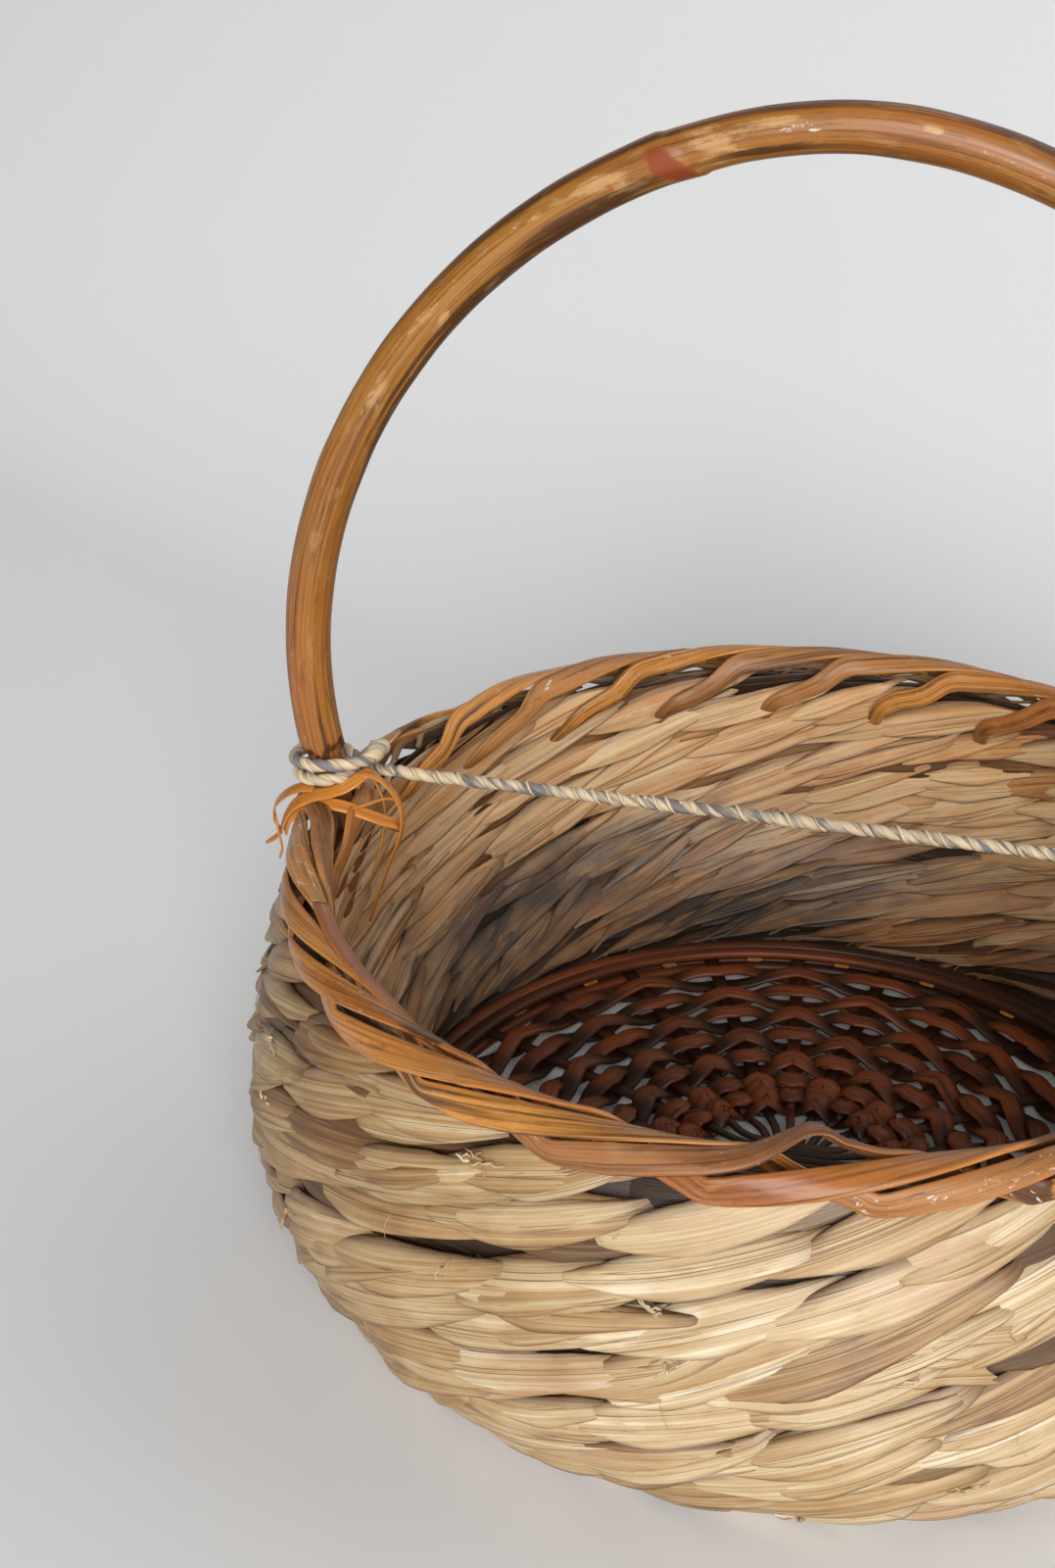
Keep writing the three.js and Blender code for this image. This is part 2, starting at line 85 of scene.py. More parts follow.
# Sizes that the frame gives
FOOT_HOOP_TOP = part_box("foot_hoop")[1].z
HOOP_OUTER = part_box("foot_hoop")[1].x
EDGE_HOOP_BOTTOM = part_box("base_edge_hoop")[0].z
EDGE_HOOP_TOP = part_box("base_edge_hoop")[1].z
HANDLE_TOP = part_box("handle_bow")[1].z
LAYER_HEIGHT = (FOOT_HOOP_TOP + EDGE_HOOP_BOTTOM) / 2

# Wall: all radii are those of the stakes' centre line
WALL_FOOT_RADIUS = HOOP_OUTER + 1.3 * MM
BELLY_RADIUS = 177.3 * MM
BELLY_HEIGHT = 52 * MM
MOUTH_RADIUS = 162.2 * MM
WALL_TOP = 119.7 * MM
LEAF_RISE = 3.6 * MM  # how far leaf may reach past the wall's top
SOFT_END = 2.2 * MM  # how softly it stops there and at the wall's foot
SOFT_FLOOR = 1.2 * MM  # how softly it stops at the floor
CORE_RISE = 2.6 * MM  # how far a strand of the core swings up and down
CORE_OUT = 1.35 * MM  # and out and in
CORE_THICKNESS = 0.7 * MM

# Border
BORDER_RADIUS = 6.6 * MM
BORDER_HEIGHT = WALL_TOP + 3.2 * MM
TAIL_PLACES = 3
LEG_GAP = 5.2 * MM  # how far the tails part round a handle end
KINKED_STAKE = 20

# Handle
HANDLE_RADIUS = 7.35 * MM
HANDLE_HALF_SPAN = MOUTH_RADIUS + 7.8 * MM
HANDLE_SPRING = 181.6 * MM
HANDLE_RISE = HANDLE_TOP - HANDLE_RADIUS - HANDLE_SPRING + 0.25 * MM
HANDLE_EXPONENT = 1.884
LEG_BOTTOM = 135 * MM
LEG_INSET = 6.6 * MM
SKIN_END = 147.5 * MM  # where the cane's skin stops above the border
LEG_TIP = 117.5 * MM  # where the whittled leg ends between the tails
JOINT_X = -48 * MM  # the cane's joint
OUTSIDE, FRONT, INSIDE = 0.5 * math.pi, math.pi, 1.5 * math.pi  # turns round the cane, from the back

# Base
BASE_WEAVERS = 6
STICKS_EACH_WAY = PLACES // 4
FIRST_WEAVER = 46 * MM
LAST_WEAVER = HOOP_OUTER - 21.5 * MM
SECOND_PAIR = 9.5 * MM  # how far inside the first ring its second pair lies
WEAVER_WAVE = 3.3 * MM  # how far a weaver swings up and down
WEAVER_ASIDE = 2.2 * MM  # how far the two of a pair part where they cross
WEAVER_HALF_THICKNESS = 1.4 * MM
STICK_HALF_THICKNESS = 1.0 * MM
HOOP_CANE_HALF_WIDTH = 2.7 * MM
HOOP_CANE_INSETS = (2.8 * MM, 8.3 * MM)

# Cord
CORD_DIAMETER = 4.6 * MM
CORD_TOP = 146.2 * MM
CORD_PITCH = 5.4 * MM
CORD_TURNS = 1.75
CORD_BIGHT = 17.6 * MM
CORD_LEG_GAP = 0.5 * MM
CORD_OUT = 32 * MM
CORD_OUT_SIDE = 9.2 * MM
CORD_MIDDLE_HEIGHT = 141.3 * MM
CORD_LAY = 11.5 * MM  # one full turn of its two plies
PLY_OUT = 1.0 * MM  # from the cord's centre line to a ply's
PLY_HALF_WIDTH = 1.6 * MM
PLY_HALF_THICKNESS = 1.2 * MM

# Camera
CAMERA_PLACE = Vector((73.4, -610.0, 470.0)) * MM
CAMERA_AZIMUTH = math.radians(15.4)
CAMERA_PITCH = math.radians(27.37)
CAMERA_LENS = 49.38  # millimetres
CAMERA_SENSOR = 36  # millimetres, the long side

# Stage
LIT_POINT = Vector((0, 0, 0.12))
WINDOW_SIZE = 5.2
WINDOW_WATTS = 632
ROOM_COLOUR = (0.96, 0.98, 1.0, 1)
ROOM_STRENGTH = 0.085


def paint(red, green, blue):
    """A colour as it is seen, each part from 0 to 255, as the linear value that a shader takes."""
    seen = np.array([red, green, blue]) / 255
    linear = np.where(seen <= 0.04045, seen / 12.92, ((seen + 0.055) / 1.055) ** 2.4)
    return tuple(float(x) for x in linear)


def size(name, millimetres, what):
    return bpy.props.FloatProperty(name=name, description=what, unit="LENGTH", default=millimetres * MM)


def colour(name, red, green, blue, what):
    return bpy.props.FloatVectorProperty(
        name=name, description=what, subtype="COLOR", size=3, min=0, max=1, default=paint(red, green, blue)
    )


class BasketSizes(bpy.types.PropertyGroup):
    """Sizes of the woven stuff that may change without changing the basket"""

    leaf_width: size("Leaf width", 15.0, "Width of a leaf blade over a stake")
    leaf_slant: size("Leaf slant", 18.0, "Rise of a leaf blade from one stake to the next")
    leaf_thickness: size("Leaf thickness", 0.9, "Thickness of the folded leaf")
    border_width: size("Border cane width", 8.0, "Width of the canes of the border")
    border_thickness: size("Border cane thickness", 3.1, "Thickness of the canes of the border")


class BasketColours(bpy.types.PropertyGroup):
    """Colours of the leaf, cane and cord"""

    leaf_cream: colour("Leaf, palest", 198, 173, 132, "Dry outer leaf")
    # Painted highlight: the palest stop of the leaf, for glints on its glossy fibres
    leaf_painted_glint: colour("Leaf, glossy", 226, 209, 180, "Palest, most worn leaf")
    leaf_straw: colour("Leaf, straw", 170, 136, 90, "Common colour of the leaf")
    leaf_tan: colour("Leaf, tan", 120, 83, 50, "Darker stretches of leaf")
    # Also the painted shade along the blades' edges
    leaf_crease: colour("Leaf, crease", 84, 54, 33, "Lines between the folds")
    leaf_blush: colour("Leaf, reddish", 166, 104, 84, "Reddish brown patches")
    leaf_inside: colour("Leaf, inside", 212, 152, 96, "Leaf that has darkened inside the basket")
    leaf_inside_pale: colour("Leaf, inside, pale", 230, 196, 150, "Palest leaf inside the basket")
    leaf_deep: colour("Leaf, underneath", 37, 24, 15, "Leaf under the blades, out of the light")
    # Painted shade: the colour that the leaf low on the inside is multiplied by
    leaf_low_shade: colour("Leaf, damp", 146, 121, 99, "What the leaf is darkened by low on the inside")
    mildew: colour("Mildew", 62, 60, 58, "Grey black marks low on the inside")
    cane_gold: colour("Cane, golden", 164, 110, 46, "Varnished skin of the cane")
    cane_pale: colour("Cane, worn", 206, 166, 112, "Where the skin is worn through")
    cane_rust: colour("Cane, rust", 158, 84, 38, "Reddish stretches of cane")
    cane_red: colour("Cane, red", 138, 60, 30, "The bare ring beside a joint")
    cane_dark: colour("Cane, dark", 70, 42, 24, "Dark streaks along the cane")
    cane_grey: colour("Cane, weathered", 140, 98, 66, "Dull canes without skin")
    cane_edge: colour("Cane, edge", 216, 140, 66, "Split edge of a cane")
    split_gold: colour("Split cane", 214, 140, 58, "Glossy skin of the lashings")
    scuff: colour("Scuffs", 222, 212, 200, "White scuffs of the varnish")
    border_gold: colour("Border, golden", 218, 146, 68, "Golden canes of the border")
    border_rust: colour("Border, rust", 162, 92, 44, "Reddish canes of the border")
    # Partly the canes' own dark brown, made darker still as painted shade on the basket's shaded floor
    base_brown: colour("Base cane", 50, 25, 13, "Canes of the base")
    # Partly the canes' reddish colour, partly painted highlight on the tops of the weavers' humps
    base_rust: colour("Base cane, rust", 136, 66, 28, "Reddish canes of the base")
    cord_straw: colour("Cord, straw", 226, 204, 168, "Pale leaf of the cord")
    cord_grey: colour("Cord, grey", 122, 122, 128, "Blue grey leaf of the cord")
    floor: colour("Floor", 240, 240, 240, "Floor and backdrop")


def sizes():
    return bpy.context.scene.basket_sizes


def colours():
    return bpy.context.scene.basket_colours


# Number helpers


def ease(x, low=0.0, high=1.0):
    """0 below low, 1 above high, and s*s*(3 - 2s) between them."""
    s = np.clip((np.asarray(x, float) - low) / (high - low), 0, 1)
    return s * s * (3 - 2 * s)


def bell(x, width):
    """exp(-(x / width)^2)."""
    return np.exp(-((np.asarray(x, float) / width) ** 2))


def wander(rng, share, knots, low, high):
    """Random values at equal steps from share 0 to share 1, eased from each one to the next."""
    values = rng.uniform(low, high, knots + 1)
    at = share * knots
    i = np.clip(np.floor(at).astype(int), 0, knots - 1)
    return values[i] + (values[i + 1] - values[i]) * ease(at - i)


def above_zero(x, soft):
    """x where it is well above 0 and 0 where it is well below: (x + sqrt(x^2 + soft^2)) / 2."""
    return (x + np.sqrt(x**2 + soft**2)) / 2


def turn_to(angle):
    """Signed difference of angles from zero, from -pi to pi."""
    return np.arctan2(np.sin(angle), np.cos(angle))


def curve(stations, step):
    """A smooth curve through stations, whose first three columns are a point: a Catmull-Rom spline,
    p(s) = 0.5 (2 b + (c - a) s + (2a - 5b + 4c - d) s^2 + (3b - a - 3c + d) s^3), at equal steps."""
    p = np.asarray(stations, float)
    p = np.concatenate([[2 * p[0] - p[1]], p, [2 * p[-1] - p[-2]]])
    fine = np.linspace(0, len(p) - 3, 24 * (len(p) - 3) + 1)
    i = np.minimum(fine.astype(int), len(p) - 4)
    s = (fine - i)[:, None]
    a, b, c, d = p[i], p[i + 1], p[i + 2], p[i + 3]
    q = 0.5 * (2 * b + (c - a) * s + (2 * a - 5 * b + 4 * c - d) * s**2 + (3 * b - a - 3 * c + d) * s**3)
    return spaced(q, step)


def spaced(q, step):
    """The rows of q again, at equal steps along the line of their first three columns."""
    along = np.concatenate([[0], np.cumsum(np.linalg.norm(np.diff(q[:, :3], axis=0), axis=1))])
    at = np.linspace(0, along[-1], max(3, int(round(along[-1] / step)) + 1))
    return np.stack([np.interp(at, along, column) for column in q.T], axis=1)


def corner_turns(sides):
    """The angles of a round section's corners."""
    return 2 * math.pi * (np.arange(sides) + 0.5) / sides


def unit(vectors):
    return vectors / np.maximum(np.linalg.norm(vectors, axis=-1, keepdims=True), 1e-12)


def lengths(points, looped=False):
    """Distance along a line of points at each one, and again at the first one if it is looped."""
    ends = np.concatenate([points, points[:1]]) if looped else points
    return np.concatenate([[0], np.cumsum(np.linalg.norm(np.diff(ends, axis=0), axis=1))])


# The wall's middle surface, by height along the wall and angle


def wall_line():
    """Rows of [radius, 0, height]: a quarter ellipse from the base to the belly, then a parabola."""
    turn = np.linspace(0, math.pi / 2, 240)
    low_r = WALL_FOOT_RADIUS + (BELLY_RADIUS - WALL_FOOT_RADIUS) * np.sin(turn)
    low_z = LAYER_HEIGHT + (BELLY_HEIGHT - LAYER_HEIGHT) * (1 - np.cos(turn))
    share = np.linspace(0, 1.06, 240)[1:]
    high_r = BELLY_RADIUS - (BELLY_RADIUS - MOUTH_RADIUS) * share**2
    high_z = BELLY_HEIGHT + (WALL_TOP - BELLY_HEIGHT) * share
    radius = np.concatenate([low_r, high_r])
    height = np.concatenate([low_z, high_z])
    return np.stack([radius, 0 * radius, height], axis=1)


WALL = wall_line()
WALL_ALONG = lengths(WALL)
WALL_LENGTH = float(np.interp(WALL_TOP, WALL[:, 2], WALL_ALONG))
ROW_HEIGHT = WALL_LENGTH / ROWS
CORE_HALF_WIDTH = 0.6 * ROW_HEIGHT
WALL_SLOPE = unit(np.gradient(WALL, axis=0))


def wall_at(up):
    """Radius, height and outward normal (radial, vertical) of the wall's middle, at a distance up it."""
    r, z, along_r, along_z = (
        np.interp(up, WALL_ALONG, column)
        for column in (WALL[:, 0], WALL[:, 2], WALL_SLOPE[:, 0], WALL_SLOPE[:, 2])
    )
    return r, z, along_z, -along_r


def polar(radius, angle, height):
    return np.stack(np.broadcast_arrays(radius * np.cos(angle), radius * np.sin(angle), height), axis=-1)


def on_wall(angle, up, away):
    """Points at an angle, a distance up the wall and a distance out from its middle. They stop softly
    at the wall's foot, a little past its top, and at the floor."""
    top = WALL_LENGTH + LEAF_RISE
    up = above_zero(up, SOFT_END)
    up = top - above_zero(top - up, SOFT_END)
    r, z, out_r, out_z = wall_at(up)
    return polar(r + out_r * away, angle, above_zero(z + out_z * away, SOFT_FLOOR))


# Mesh makers


def shell(grid, u, v, looped=False, **layers):
    """A closed skin over a grid of corners: rows run along the piece and columns go once round it.
    u and v are in metres. u has a value for each row and one more if it is looped, and v has one for
    each row and column, with one column more."""
    rows, columns = grid.shape[:2]
    row = np.arange(rows if looped else rows - 1)[:, None]
    column = np.arange(columns)[None, :]
    ahead, beside = (row + 1) % rows, (column + 1) % columns
    corners = ((row, column), (row, beside), (ahead, beside), (ahead, column))
    quads = np.stack(np.broadcast_arrays(*(a * columns + b for a, b in corners)), -1)
    u = np.broadcast_to(np.asarray(u)[:, None], (len(u), columns + 1))
    v = np.concatenate([v, v[:1]]) if looped else v
    corners = ((row, column), (row, column + 1), (row + 1, column + 1), (row + 1, column))
    uv = np.stack([np.stack([u[a, b], v[a, b]], -1) for a, b in corners], axis=2)
    caps, cap_uv = [], []
    if not looped:
        ring = np.arange(columns)
        for end, order in ((0, ring[::-1]), (rows - 1, ring)):
            caps.append(end * columns + order)
            cap_uv.append(np.stack([u[end, order], v[end, order]], -1))
    kept = {key: np.broadcast_to(value, (rows, columns)).reshape(-1) for key, value in layers.items()}
    return {
        "points": grid.reshape(-1, 3), "quads": quads.reshape(-1, 4), "uv": uv.reshape(-1, 2),
        "caps": caps, "cap_uv": cap_uv, "layers": kept,
    }


def tube(points, normals, half_width, half_thick, sides, looped=False, under=1.0, square=1.0, shift=0.0,
         **layers):
    """A section carried along a path. Corner k of station i is P + N t n(k) + (T x N) w b(k), with
    n = cos, made flatter below by `under`, and b = sin, both raised to the power `square`."""
    points = np.asarray(points, float)
    if looped:
        along = np.roll(points, -1, 0) - np.roll(points, 1, 0)
    else:
        along = np.gradient(points, axis=0)
    along = unit(along)
    normals = unit(normals - along * (normals * along).sum(-1, keepdims=True))
    across = np.cross(along, normals)
    turn = corner_turns(sides)
    n, b = (np.sign(f) * np.abs(f) ** square for f in (np.cos(turn), np.sin(turn)))
    n = np.where(n < 0, n * under, n)
    half_width = np.broadcast_to(half_width, len(points))[:, None]
    half_thick = np.broadcast_to(half_thick, len(points))[:, None]
    out, side = half_thick * n, half_width * b
    grid = points[:, None] + normals[:, None] * out[..., None] + across[:, None] * side[..., None]
    u = lengths(points, looped)
    reach = np.mean(half_width + half_thick) / 2
    v = np.tile(reach * np.append(turn, turn[0] + 2 * math.pi) + shift, (len(points), 1))
    return shell(grid, u + shift, v, looped, **layers)


def piece(name, parts, material, slot, *nodes):
    """One mesh object of several parts, which rides on the basket and stands for CAD nodes."""
    base = np.cumsum([0] + [len(part["points"]) for part in parts])
    quads = np.concatenate([part["quads"] + b for part, b in zip(parts, base)])
    caps = [cap + b for part, b in zip(parts, base) for cap in part["caps"]]
    corners = np.concatenate([quads.reshape(-1), *caps]).astype(np.int32)
    uv = np.concatenate([part["uv"] for part in parts] + [c for part in parts for c in part["cap_uv"]])
    counts = np.concatenate([np.full(len(quads), 4), [len(cap) for cap in caps]]).astype(np.int32)
    starts = np.concatenate([[0], np.cumsum(counts)[:-1]]).astype(np.int32)
    points = np.concatenate([part["points"] for part in parts])
    mesh = bpy.data.meshes.new(name)
    mesh.vertices.add(len(points))
    mesh.vertices.foreach_set("co", points.astype(np.float32).ravel())
    mesh.loops.add(len(corners))
    mesh.loops.foreach_set("vertex_index", corners)
    mesh.polygons.add(len(counts))
    mesh.polygons.foreach_set("loop_start", starts)
    mesh.update(calc_edges=True)
    mesh.uv_layers.new(name="grain").uv.foreach_set("vector", uv.astype(np.float32).ravel())
    for key in sorted({key for part in parts for key in part["layers"]}):
        values = [part["layers"].get(key, np.zeros(len(part["points"]))) for part in parts]
        layer = mesh.attributes.new(key, "FLOAT", "POINT")
        layer.data.foreach_set("value", np.concatenate(values).astype(np.float32))
    smooth = np.concatenate([np.ones(len(quads), bool), np.zeros(len(caps), bool)])
    mesh.polygons.foreach_set("use_smooth", smooth)
    mesh.materials.append(material)
    thing = bpy.data.objects.new(name, mesh)
    bpy.context.scene.collection.objects.link(thing)
    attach(thing, "root")
    if nodes:
        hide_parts(*nodes)
    return thing


# Materials


class Recipe:
    """A material while it is put together: each call adds a node and gives its result."""

    def __init__(self, name):
        self.material = bpy.data.materials.new(name)
        self.material.use_nodes = True
        self.tree = self.material.node_tree
        self.shader = self.tree.nodes["Principled BSDF"]
        self.grain = self.node("ShaderNodeUVMap", uv_map="grain")

    def node(self, kind, inputs=None, output=0, **settings):
        made = self.tree.nodes.new(kind)
        for key, value in settings.items():
            setattr(made, key, value)
        for key, value in (inputs or {}).items():
            self.join(made.inputs[key], value)
        return made.outputs[output]

    def join(self, socket, value):
        if isinstance(value, bpy.types.NodeSocket):
            self.tree.links.new(value, socket)
        elif socket.type == "RGBA":
            socket.default_value = (*value, 1)
        else:
            socket.default_value = value

    def noise(self, along, across, detail=3.0, rough=0.55, bend=0.0, seed=0.0):
        """Noise on the grain, with that many swells to the metre along the strand and across it."""
        place = self.node(
            "ShaderNodeMapping",
            {"Vector": self.grain, "Scale": (along, across, 1), "Location": (seed, seed * 1.7, seed)},
        )
        return self.node(
            "ShaderNodeTexNoise",
            {"Vector": place, "Scale": 1, "Detail": detail, "Roughness": rough, "Distortion": bend},
        )

    def layer(self, name):
        return self.node("ShaderNodeAttribute", output=2, attribute_name=name)

    def ramp(self, factor, *stops):
        """A colour or grey ramp through (place, value) stops."""
        made = self.tree.nodes.new("ShaderNodeValToRGB")
        self.tree.links.new(factor, made.inputs[0])
        elements = made.color_ramp.elements
        while len(elements) < len(stops):
            elements.new(0.5)
        for element, (place, value) in zip(elements, stops):
            element.position = place
            element.color = (*value, 1) if hasattr(value, "__len__") else (value, value, value, 1)
        return made.outputs[0]

    def mix(self, factor, first, second, blend="MIX"):
        return self.node(
            "ShaderNodeMix", {0: factor, 6: first, 7: second}, output=2, data_type="RGBA", blend_type=blend
        )

    def mark(self, base, colour_of, factor, *stops):
        """Another colour over the base, as far as a ramp of the factor lets it show."""
        return self.mix(self.ramp(factor, *stops), base, colour_of)

    def add(self, first, second, clamp=False):
        return self.node("ShaderNodeMath", {0: first, 1: second}, operation="ADD", use_clamp=clamp)

    def times(self, first, second):
        return self.node("ShaderNodeMath", {0: first, 1: second}, operation="MULTIPLY")

    def centred(self, noise):
        """Noise about 0 instead of about a half."""
        return self.node("ShaderNodeMath", {0: noise, 1: 0.5}, operation="SUBTRACT")

    def finish(self, colour_of, roughness, height, depth, strength):
        self.join(self.shader.inputs["Base Color"], colour_of)
        self.join(self.shader.inputs["Roughness"], roughness)
        bump = self.node("ShaderNodeBump", {"Height": height, "Distance": depth, "Strength": strength})
        self.join(self.shader.inputs["Normal"], bump)
        return self.material


def leaf_material():
    """Dried leaf: blades of honey and cream with fine glossy fibres, a few dark lines and soft patches, and
    a palest stop of painted highlight for glints on the fibres. Layers: tone goes from tan to cream, warm
    to the colour of the inside, deep to the painted shade of the leaf under the blades, edge the painted
    shade along a blade's edges and where it goes under the next, damp is painted shade low inside, stain
    brings mildew, and blush reddish patches."""
    c = colours()
    r = Recipe("dried leaf")
    tone, stain, blush, warm, deep, damp, edge = (
        r.layer(key) for key in ("tone", "stain", "blush", "warm", "deep", "damp", "edge")
    )
    fibre = r.noise(13, 1150, rough=0.62)
    streak = r.noise(6, 400, seed=3.1)
    patch = r.noise(30, 95, bend=0.6, seed=7.7)
    body = r.add(r.times(tone, 0.46), r.times(patch, 0.7))
    body = r.add(body, r.times(r.centred(streak), 0.85))
    body = r.add(body, r.times(r.centred(fibre), 0.85))
    # The palest stop is painted highlight, for glints on the fibres
    base = r.ramp(body, (0.1, c.leaf_tan), (0.45, c.leaf_straw), (0.78, c.leaf_cream), (1.0, c.leaf_painted_glint))
    aged = r.ramp(body, (0.0, c.leaf_tan), (0.4, c.leaf_inside), (0.85, c.leaf_inside_pale))
    base = r.mix(warm, base, aged)
    flush = r.add(blush, r.times(r.noise(45, 150, seed=5), 0.6))
    base = r.mark(base, c.leaf_blush, flush, (0.62, 0), (0.95, 0.55))
    lines = r.noise(4, 520, detail=1, rough=0.4, seed=12.3)
    crease = r.ramp(lines, (0.385, 0), (0.398, 0.6), (0.404, 0.6), (0.42, 0))
    base = r.mix(crease, base, c.leaf_crease)
    bruise = r.noise(90, 900, detail=4, rough=0.7, seed=4.2)
    base = r.mark(base, c.leaf_tan, bruise, (0.58, 0), (0.74, 0.6))
    # Painted shade along the blades' edges and where they go under their neighbours
    base = r.mix(edge, base, c.leaf_crease)
    # Painted shade low on the inside, multiplied into the colour
    base = r.mix(damp, base, c.leaf_low_shade, "MULTIPLY")
    mould = r.add(stain, r.times(r.noise(50, 130, detail=4, seed=9), 0.75))
    base = r.mark(base, c.mildew, mould, (0.6, 0), (1.0, 0.9))
    # Painted shade of leaf out of the light: the core and the blades in the gaps between stakes
    base = r.mix(deep, base, c.leaf_deep)
    height = r.add(r.times(fibre, 0.8), streak)
    height = r.add(height, r.times(crease, -0.7))
    r.shader.inputs["Specular IOR Level"].default_value = 0.55
    return r.finish(base, r.ramp(streak, (0.3, 0.36), (0.7, 0.58)), height, 0.4 * MM, 0.7)


def cane_material(name, gold, rust, dark, worn, smoothest):
    """Cane: vessels and dark streaks along it, under varnish. Layers: tone goes from gold to rust, which
    on the tops of the base's humps is partly painted highlight, bare shows dull wood, dusk brings dark
    streaks and, on the handle, painted shade in the step below the cut skin, wear pale patches, chip
    white scuffs, red the bare ring of a joint, and edge the lighter split edge. smoothest is its lowest
    roughness."""
    c = colours()
    r = Recipe(name)
    tone, bare, dusk, wear, chip, red, edge = (
        r.layer(key) for key in ("tone", "bare", "dusk", "wear", "chip", "red", "edge")
    )
    vessel = r.noise(11, 1350, rough=0.62)
    streak = r.noise(9, 560, detail=5, rough=0.64, seed=2.2)
    cloud = r.noise(26, 80, bend=0.4, seed=5.5)
    body = r.add(r.times(tone, 0.55), r.times(cloud, 0.6))
    base = r.mark(gold, rust, body, (0.3, 0), (0.85, 1))
    base = r.mark(base, worn, r.noise(12, 480, detail=2, seed=8.1), (0.52, 0), (0.76, 0.22))
    base = r.mark(base, dark, vessel, (0.36, 0.55), (0.56, 0))
    base = r.mix(bare, base, c.cane_grey)
    base = r.mix(r.times(edge, 0.55), base, c.cane_edge)
    flake = r.noise(75, 210, detail=5, rough=0.68, bend=0.4, seed=6.6)
    pale = r.ramp(r.add(r.times(wear, 0.36), r.centred(flake)), (0.3, 0), (0.42, 0.55))
    base = r.mix(pale, base, worn)
    base = r.mark(base, dark, r.add(streak, r.times(dusk, 0.2)), (0.55, 0), (0.7, 0.88))
    base = r.mark(base, worn, flake, (0.55, 0), (0.7, 0.26))
    grime = r.noise(60, 700, detail=5, rough=0.72, bend=0.5, seed=11.2)
    base = r.mark(base, dark, grime, (0.56, 0), (0.68, 0.65))
    base = r.mark(base, dark, r.noise(6, 1500, detail=2, seed=1.4), (0.63, 0), (0.68, 0.5))
    ring = r.add(red, r.times(r.centred(flake), 0.8))
    base = r.mark(base, c.cane_red, ring, (0.42, 0), (0.62, 0.85))
    grit = r.noise(230, 760, detail=5, rough=0.72, bend=0.4, seed=3.3)
    scuff = r.ramp(r.add(grit, r.times(chip, 0.2)), (0.73, 0), (0.77, 0.85))
    base = r.mix(scuff, base, c.scuff)
    roughness = r.ramp(streak, (0.3, smoothest), (0.75, smoothest + 0.16))
    roughness = r.add(roughness, r.times(scuff, 0.3), clamp=True)
    roughness = r.add(roughness, r.times(bare, 0.25), clamp=True)
    height = r.add(r.times(vessel, 0.5), r.times(streak, 0.8))
    height = r.add(height, r.times(r.add(pale, scuff), -0.35))
    r.shader.inputs["Specular IOR Level"].default_value = 0.34
    r.shader.inputs["Coat Weight"].default_value = 0.1
    r.shader.inputs["Coat Roughness"].default_value = 0.26
    return r.finish(base, roughness, height, 0.26 * MM, 0.5)


def cord_material():
    """Twisted leaf: straw with blue grey stretches, and fine fibres along each ply."""
    c = colours()
    r = Recipe("leaf cord")
    fibre = r.noise(50, 2600)
    shade = r.add(r.times(r.layer("tone"), 0.5), r.noise(55, 130, seed=3))
    base = r.mark(c.cord_straw, c.cord_grey, shade, (0.6, 0), (0.74, 0.95))
    base = r.mark(base, c.leaf_tan, r.noise(40, 700, seed=8), (0.55, 0), (0.7, 0.6))
    base = r.mark(base, c.leaf_crease, fibre, (0.36, 0.5), (0.54, 0))
    return r.finish(base, 0.62, fibre, 0.35 * MM, 0.7)


# The wall


def leaf_section(top, bottom):
    """The corners of a leaf's section, once round it: their places across, from 1 at the upper edge to
    -1 at the lower one and back, and their shares of its thickness."""
    upper, lower = np.linspace(0.96, -0.96, top), np.linspace(-0.94, 0.94, bottom)
    across = np.concatenate([[1], upper, [-1], lower])
    return across, np.concatenate([[0], np.full(top, 0.5), [0], np.full(bottom, -0.5)])


def leaf_skin(rng, grid, half, tone, warm, looped=False, deep=0.0, edge=0.0):
    """The closed skin of a leaf, with its grain measured along and across it, and with the layers that
    its material asks for."""
    v = np.concatenate([half, half[:, :1]], axis=1) + rng.uniform(0, 9)
    u = lengths(grid[:, 0], looped) + rng.uniform(0, 9)
    height = grid[..., 2]
    angle = np.arctan2(grid[..., 1], grid[..., 0])
    cloud = 0.5 + 0.25 * np.sin(angle * 3 + 1) + 0.25 * np.sin(angle * 7 + height / (9 * MM))
    stain = 0.72 * warm * (1 - ease(height, 28 * MM, 92 * MM)) * (0.3 + 0.7 * cloud)
    # Painted shade: the inside leaf is darkened towards the bottom, half as much on its left half
    damp = warm * (1 - ease(height, 12 * MM, 82 * MM)) * (0.75 + 0.25 * cloud)
    damp = damp * (1 - 0.5 * np.maximum(-np.cos(angle), 0))
    # Painted shade: the outside leaf is darker on its left half, away from the light
    tone = tone - 0.35 * np.maximum(-np.cos(angle), 0) * (1 - warm)
    pink = 0.5 + 0.3 * np.sin(angle * 5 + height / (13 * MM)) + 0.2 * np.sin(angle * 11 + 2)
    blush = 0.5 * pink * rng.uniform(0.2, 1.05) + 0.08 * warm
    return shell(
        grid, u, v, looped, tone=tone, warm=warm, stain=stain, blush=blush, deep=deep, damp=damp, edge=edge
    )


def core(rng, row, which):
    """One of the two strands that run round inside a row, under the blades, darkened with painted shade as
    leaf out of the light. It turns like one of a twisted pair: with s = pi (place + which), it lies a
    cos s out and b sin s up."""
    stations = 8  # for each place
    places = np.arange(PLACES * stations) / stations
    s = math.pi * (places + which)
    q, thick = leaf_section(5, 4)
    half = CORE_HALF_WIDTH * np.ones((len(places), 1)) * q
    up = (row + 0.5) * ROW_HEIGHT + (CORE_RISE * np.sin(s))[:, None] + half
    away = (CORE_OUT * np.cos(s))[:, None] + thick * CORE_THICKNESS
    grid = on_wall(places[:, None] * PLACE_ANGLE, up, away)
    # Painted shade: deep=0.92 darkens the core so that the slits between the blades read dark
    return leaf_skin(rng, grid, half, tone=-0.7, warm=0.5, looped=True, deep=0.92)


